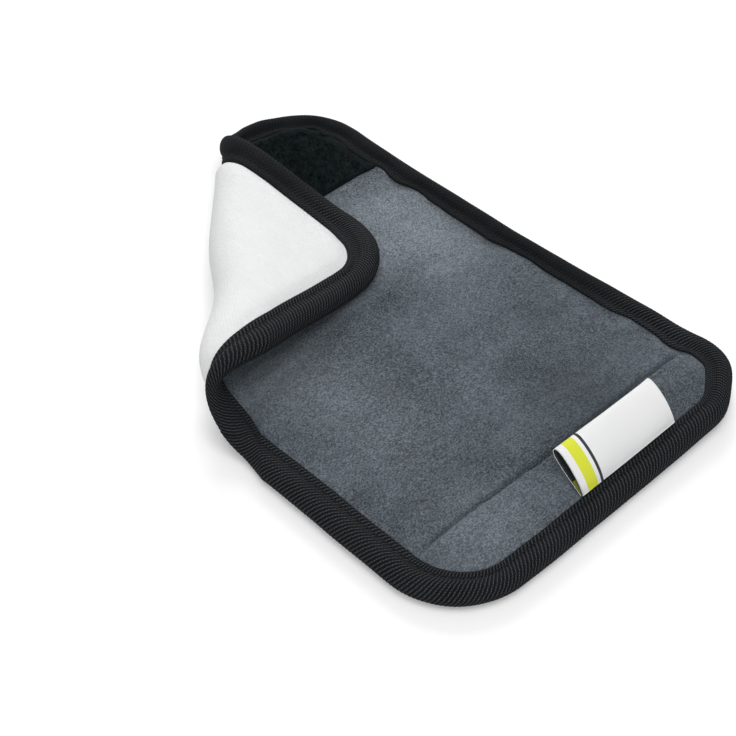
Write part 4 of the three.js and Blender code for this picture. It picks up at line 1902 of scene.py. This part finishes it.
            def place(along: Array, across: Array, up: Array, sign: float = sign) -> Array:
                """Points of the flat pad in the groove.

                Args:
                    along, across, up: places of the thread's points.
                    sign: 1 on the front and -1 on the back.

                Returns:
                    The points.
                """
                inset = np.full_like(along, self.seam_inset) + across
                rise = sign * (self.seam_rise + up)
                return self.place(along, inset, rise, np.full(along.shape, sign > 0))

            thread = Thread().build(name, 0.0, self.plan.perimeter, place, self.fold.bend)
            dress(thread, finish, "binding")


@dataclass
class ClosureTapes(PadPiece):
    """Loop tape on the fleece along the far edge, and hook tape under the near edge.

    Attributes:
        tape, air: thickness of the ground, and the gap under the loop tape.
        loop_inset, selvage, pile_inset: inset of the loop tape and the bare borders of its ground.
        loop_stand, loop_lean: how far the loops stand up and lean, in their own sizes.
        hook_inset, hook_margin: inset of the hook tape and the bare border of its ground.
        hook_field: height of the ground above the floor, which the hooks need.
    """

    HOOK_MM = ((0, 0), (0, 0.32), (0.06, 0.5), (0.2, 0.56), (0.34, 0.48), (0.38, 0.34))
    LOOP_DEG = (-25, 25, 70, 110, 155, 205)
    WIRE_TIP = 0.4

    tape: float = 0.6 * MM
    cell: float = 1.6 * MM
    air: float = 0.05 * MM
    loop_inset: float = 0.25 * MM
    selvage: float = 3.0 * MM
    pile_inset: float = 0.5 * MM
    loops: int = 4200
    loop_radius: float = 0.42 * MM
    loop_sizes: Span = (0.7, 1.35)
    loop_stand: float = 0.35
    loop_lean: float = 0.35
    loop_wire: float = 0.09 * MM
    hook_inset: float = 8.9 * MM
    hook_margin: float = 1.6 * MM
    hook_pitch: float = 1.5 * MM
    hook_wire: float = 0.13 * MM
    hook_lean: float = 0.02 * MM
    hook_field: float = 0.7 * MM

    def loop_bottom(self, x: Array, y: Array) -> Array:
        """Underside of the loop tape."""
        return self.layers.cover_top(x, y) + self.air

    def loop_top(self, x: Array, y: Array) -> Array:
        """Woven ground of the loop tape."""
        return self.loop_bottom(x, y) + self.tape

    def build_loop(self, finish: Material) -> None:
        """Builds the loop tape: a ground sheet and its pile.

        Args:
            finish: the material of both.
        """
        line = self.layers.loop_line
        border = self.layers.cover.far + self.loop_inset
        mesh, keep = PlanMesh(self.plan, self.cell, border, (line,)), lambda x, y: y > line
        ground = mesh.solid("loop_tape", keep, self.loop_bottom, self.loop_top, self.fold.bend)
        random = np.random.default_rng(Seed.LOOPS)
        half = self.plan.width / 2
        x = random.uniform(-half, half, 3 * self.loops)
        y = random.uniform(line, self.plan.length / 2, 3 * self.loops)
        inside = (self.plan.inset(x, y) > border + self.selvage) & (y > line + self.pile_inset)
        x, y = x[inside][: self.loops], y[inside][: self.loops]
        heading = random.uniform(0, 2 * math.pi, len(x))
        size = self.loop_radius * random.uniform(*self.loop_sizes, len(x))
        arc = np.radians(np.array(self.LOOP_DEG))
        across = np.cos(arc)[None, :] * size[:, None]
        up = (self.loop_stand + np.sin(arc))[None, :] * size[:, None]
        lean = random.normal(0, self.loop_lean, (2, len(x)))[:, :, None] * up[None]
        wire_x = x[:, None] + across * np.cos(heading)[:, None] + lean[0]
        wire_y = y[:, None] + across * np.sin(heading)[:, None] + lean[1]
        pile = self.wires("loop_pile", wire_x, wire_y, up, self.loop_wire, self.loop_top)
        dress(pile, finish, "loop_tape")
        dress(ground, finish, "loop_tape", "loop_strip")

    def wires(self, name: str, x: Array, y: Array, up: Array, radius: float,
              ground: Height) -> Piece:
        """Builds many short bent wires on a ground height, thinner at both ends.

        Args:
            name: the piece's name.
            x, y: places of the wires' points, one wire a row.
            up: the points' heights over the ground, which are negative where wires hang below it.
            radius: the wires' radius.
            ground: the height that they stand on.

        Returns:
            The new object.
        """
        turn = np.arange(4) * math.pi / 2
        thin = np.full(x.shape[1], radius)
        thin[[0, -1]] *= self.WIRE_TIP
        step_x, step_y = np.gradient(x, axis=1), np.gradient(y, axis=1)
        length = np.maximum(np.hypot(step_x, step_y), TINY)
        side_x, side_y = -step_y / length, step_x / length
        ring_x = x[..., None] + side_x[..., None] * thin[:, None] * np.cos(turn)
        ring_y = y[..., None] + side_y[..., None] * thin[:, None] * np.cos(turn)
        base = ground(x.ravel(), y.ravel()).reshape(x.shape)
        ring_z = (base + up)[..., None] + thin[:, None] * np.sin(turn)
        flat = np.column_stack([ring_x.ravel(), ring_y.ravel(), ring_z.ravel()])
        return add_object(name, self.fold.bend(flat), tube_faces(ring_x.shape), flat)

    def build_hook(self, finish: Material) -> None:
        """Builds the hook tape: a ground sheet under the pad and rows of small hooks.

        Args:
            finish: the material of both.
        """
        plan, layers = self.plan, self.layers
        far = layers.hook_depth - plan.length / 2
        top = layers.hook_lift - layers.gap
        ground_bottom = lambda x, y: np.full_like(x, self.hook_field)
        ground_top = lambda x, y: np.full_like(x, top)
        mesh = PlanMesh(plan, self.cell, self.hook_inset, (far,))
        ground = mesh.solid("hook_tape", lambda x, y: y < far, ground_bottom, ground_top, self.fold.bend)
        dress(ground, finish, "hook_tape", "hook_strip")
        xs = np.arange(-plan.width / 2, plan.width / 2, self.hook_pitch)
        ys = np.arange(-plan.length / 2, far, self.hook_pitch)
        gx, gy = (axis.ravel() for axis in np.meshgrid(xs, ys))
        inside = (plan.inset(gx, gy) > self.hook_inset + self.hook_margin) & (gy < far - self.hook_margin)
        gx, gy = gx[inside], gy[inside]
        turn = np.where(np.arange(len(gx)) % 2, 1.0, -1.0)[:, None]
        shape = np.array(self.HOOK_MM) * MM
        x = gx[:, None] + turn * shape[None, :, 0]
        y = gy[:, None] + self.hook_lean * shape[None, :, 1] / MM
        down = -np.broadcast_to(shape[None, :, 1], x.shape)
        dress(self.wires("hook_field", x, y, down, self.hook_wire, ground_bottom), finish, "hook_tape")


@dataclass
class FoldLabel(PadPiece):
    """A loop of woven ribbon caught at the near edge; plain stripes stand in its face.

    Attributes:
        seam_inset, seam_lift, seam_slope: where its ends are caught, and how high over the fleece.
        reach, rise, bow: how far the crest stands in and up, and how far the loop bellies.
        knot_steps, across_steps: points between two knots, and across the ribbon.
    """

    KNOTS = ((0, -0.12), (0.16, -0.34), (0.36, -0.52), (0.6, -0.66), (0.82, -0.7), (0.95, -0.5),
             (1.0, 0.05), (0.95, 0.55), (0.82, 0.86), (0.6, 1.0), (0.36, 0.9), (0.16, 0.6), (0, 0.14))

    width: float = 36.6 * MM
    centre: float = 9.5 * MM
    seam_inset: float = 7.3 * MM
    seam_lift: float = 0.55 * MM
    seam_slope: float = 0.6 * MM
    reach: float = 10.2 * MM
    rise: float = 9.0 * MM
    bow: float = 1.75 * MM
    thickness: float = 0.36 * MM
    waver: float = 0.28 * MM
    knot_steps: int = 6
    across_steps: int = 60

    def path(self) -> Array:
        """The ribbon's middle line, from the seam under the loop, over its crest and back to the seam.

        Returns:
            Points of y and z on the flat pad.
        """
        start = np.array([self.seam_inset - self.plan.length / 2, 0.0])
        fleece = self.layers.cover_top(np.array([self.centre]), start[:1] + self.seam_slope)
        start[1] = fleece[0] + self.seam_lift
        chord = np.array([self.reach, self.rise])
        out = np.array([-chord[1], chord[0]]) / np.hypot(*chord)
        knots = np.array([start + share * chord + bow * self.bow * out for share, bow in self.KNOTS])
        knots = np.vstack([2 * knots[0] - knots[1], knots, 2 * knots[-1] - knots[-2]])
        line = []
        for k in range(1, len(knots) - 2):
            t = np.linspace(0, 1, self.knot_steps, endpoint=False)[:, None]
            a, b, c, d = knots[k - 1:k + 3]
            line.append(0.5 * (2 * b + (c - a) * t + (2 * a - 5 * b + 4 * c - d) * t ** 2
                               + (3 * b - a - 3 * c + d) * t ** 3))
        return np.vstack(line + [knots[-2:-1]])

    def build(self, finish: Material) -> None:
        """Builds and dresses the label.

        Args:
            finish: its material.
        """
        path = self.path()
        run = run_along(path)
        tangent = np.gradient(path, axis=0)
        normal = np.column_stack([-tangent[:, 1], tangent[:, 0]])
        normal /= np.linalg.norm(normal, axis=1)[:, None]
        x = np.linspace(-self.width / 2, self.width / 2, self.across_steps)
        sag = SoftNoise(Seed.LABEL, 12 * MM)
        lift = np.sin(math.pi * np.clip(run / run[-1], 0, 1))
        blocks, patterns = [], []
        for side in (1, -1):
            line = path + side * normal * self.thickness / 2
            grid_x = np.broadcast_to(self.centre + x[:, None], (len(x), len(path)))
            noise = sag.at(grid_x.ravel(), np.tile(run, len(x))).reshape(grid_x.shape)
            waver = self.waver * noise * lift
            grid_y = line[None, :, 0] + waver * normal[None, :, 0]
            grid_z = line[None, :, 1] + waver * normal[None, :, 1]
            blocks.append(np.stack([grid_x, grid_y, grid_z], -1))
            facing = np.full(grid_x.shape, RibbonFinish.REVERSE if side > 0 else 0.0)
            patterns.append(np.stack([grid_x - self.centre, np.broadcast_to(run, grid_x.shape), facing], -1))
        points = np.stack(blocks)
        index = np.arange(points.size // 3).reshape(points.shape[:3])
        quads = lambda a: np.stack([a[:-1, :-1], a[1:, :-1], a[1:, 1:], a[:-1, 1:]], -1).reshape(-1, 4)
        top, low = index
        edge = lambda a, b: np.stack([a[:-1], b[:-1], b[1:], a[1:]], -1)
        ends = [edge(top[:, 0], low[:, 0])[:, ::-1], edge(top[:, -1], low[:, -1])]
        sides = [edge(top[0], low[0]), edge(top[-1], low[-1])[:, ::-1]]
        faces = np.concatenate([quads(top), quads(low)[:, ::-1], *ends, *sides])
        places = self.fold.bend(points.reshape(-1, 3))
        label = add_object("ribbon_label", places, faces.tolist(), np.stack(patterns).reshape(-1, 3))
        dress(label, finish, "label", "fold_label")


@dataclass(frozen=True)
class Lamp:
    """A square soft lamp that faces the pad: its place, the length of its sides and its power."""

    name: str
    place: Point
    size: float
    power: float


@dataclass
class Studio:
    """Pale floor, which looks whiter to the camera with the distance, soft lamps and the camera."""

    camera_place: Point = (-221.2 * MM, -231.9 * MM, 286.4 * MM)
    camera_target: Point = (-11.11 * MM, -11.91 * MM, 0.0)
    lens: float = 73.8
    sensor: float = 36.0
    floor_size: float = 6.0
    floor_white: float = 0.86
    floor_drop: float = 0.02 * MM
    floor_lift: float = 0.16
    floor_span: Span = (0.25, 1.4)
    world_strength: float = 0.38
    lamps: tuple[Lamp, ...] = (
        Lamp("key", (0.75, 0.8, 0.7), 0.6, 8.0),
        Lamp("top", (-0.15, -0.25, 1.15), 0.8, 6.2),
        Lamp("fill", (-0.8, -0.9, 0.65), 0.9, 5.2),
    )

    def build(self) -> None:
        """Builds the floor, the lamps, the world and the camera."""
        self.add_floor()
        for lamp in self.lamps:
            self.add_lamp(lamp)
        self.add_world()
        self.add_camera()

    def add_floor(self) -> None:
        """A matt pale floor that looks white to the camera and keeps the shadow."""
        half = self.floor_size / 2
        mesh = bpy.data.meshes.new("floor")
        corners = [(-half, -half, 0), (half, -half, 0), (half, half, 0), (-half, half, 0)]
        mesh.from_pydata(corners, [], [(0, 1, 2, 3)])
        floor = put("floor", mesh)
        floor.location.z = -self.floor_drop
        made = bpy.data.materials.new("floor_paper")
        made.use_nodes = True
        sheet = NodeSheet(made.node_tree)
        shader = made.node_tree.nodes["Principled BSDF"]
        shader.inputs["Base Color"].default_value = (self.floor_white,) * 3 + (1,)
        shader.inputs["Roughness"].default_value = 0.9
        shader.inputs["Specular IOR Level"].default_value = 0.1
        shader.inputs["Emission Color"].default_value = (1, 1, 1, 1)
        seen = sheet.add("LightPath").outputs["Is Camera Ray"]
        place = sheet.add("NewGeometry").outputs["Position"]
        away = sheet.add("VectorMath", operation="LENGTH", i0=place).outputs["Value"]
        lift = sheet.remap(away, *self.floor_span, (self.floor_lift, 1.0))
        sheet.feed(shader.inputs["Emission Strength"], sheet.times(seen, lift))
        floor.data.materials.append(made)

    def add_lamp(self, lamp: Lamp) -> None:
        """Hangs a lamp and turns it to the pad.

        Args:
            lamp: the lamp.
        """
        data = bpy.data.lights.new(lamp.name, "AREA")
        data.size, data.energy = lamp.size, lamp.power
        made = put(lamp.name, data)
        made.location = lamp.place
        made.rotation_euler = (-Vector(lamp.place)).to_track_quat("-Z", "Y").to_euler()

    def add_world(self) -> None:
        """An even pale world: white to the camera, softer as light."""
        world = bpy.data.worlds.new("studio")
        world.use_nodes = True
        sheet = NodeSheet(world.node_tree)
        back = world.node_tree.nodes["Background"]
        back.inputs["Color"].default_value = (1, 1, 1, 1)
        path = sheet.add("LightPath")
        seen = sheet.math("MAXIMUM", path.outputs["Is Camera Ray"], path.outputs["Is Glossy Ray"])
        sheet.feed(back.inputs["Strength"], sheet.remap(seen, 0, 1, (self.world_strength, 1.0)))
        bpy.context.scene.world = world

    def add_camera(self) -> None:
        """The camera at the photograph's angle."""
        data = bpy.data.cameras.new("camera")
        data.lens, data.sensor_width = self.lens, self.sensor
        data.clip_start = 0.01
        camera = put("camera", data)
        place, target = Vector(self.camera_place), Vector(self.camera_target)
        camera.location = place
        camera.rotation_euler = (target - place).to_track_quat("-Z", "Y").to_euler()
        bpy.context.scene.camera = camera


def main() -> None:
    """Builds the pad piece by piece, then the studio."""
    logging.basicConfig(level=logging.INFO, format="%(message)s")
    bpy.context.scene.view_settings.view_transform = "Standard"
    for thing in [o for o in bpy.data.objects if o.name in ("Cube", "Light", "Camera")]:
        bpy.data.objects.remove(thing)
    Studio().build()
    groups = ClothNodes()
    plan = PadPlan()
    fold = CornerFold(plan)
    layers = PadLayers(plan, fold)
    layers.puff = FaceSwell(plan, layers).run()
    LOG.info("face swell simulated")
    thread = WovenFinish("sewing_thread", pitch=0.5 * MM, slant=0.6, sheen=0.02, gloss=0.1).material(groups)
    face = PaddedFace(plan, fold, layers)
    face.build(FleeceFinish("grey_fleece").material(groups))
    # The stitch line's thread is coloured dark like the crease it sinks into: partly painted shade of that
    # crease.
    face.sew(WovenFinish("grey_thread", dark=srgb(20, 23, 26), light=srgb(44, 49, 54)).material(groups))
    # The fibres share the fleece's spots of painted light and painted shadow.
    fibre = FleeceFinish("fleece_fibre", dark=srgb(40, 47, 54), light=srgb(124, 134, 142), patch_share=0.5)
    FleeceNap(plan, fold, layers).build(fibre.material(groups))
    BackLining(plan, fold, layers).build(LiningFinish("white_lining", sheen=0.1).material(groups))
    binding = EdgeBinding(plan, fold, layers)
    twill = TwillFinish("black_twill", sheen=0.0, gloss=0.05, calm_span=binding.calm_span)
    binding.build(twill.material(groups))
    binding.sew(thread)
    tapes = ClosureTapes(plan, fold, layers)
    tapes.build_loop(PileFinish("black_pile", sheen=0.01, gloss=0.06).material(groups))
    tapes.build_hook(WovenFinish("hook_weave", sheen=0.05, roughness=0.6).material(groups))
    FoldLabel(plan, fold, layers).build(RibbonFinish("striped_ribbon", roughness=0.7).material(groups))


if __name__ == "__main__":
    main()
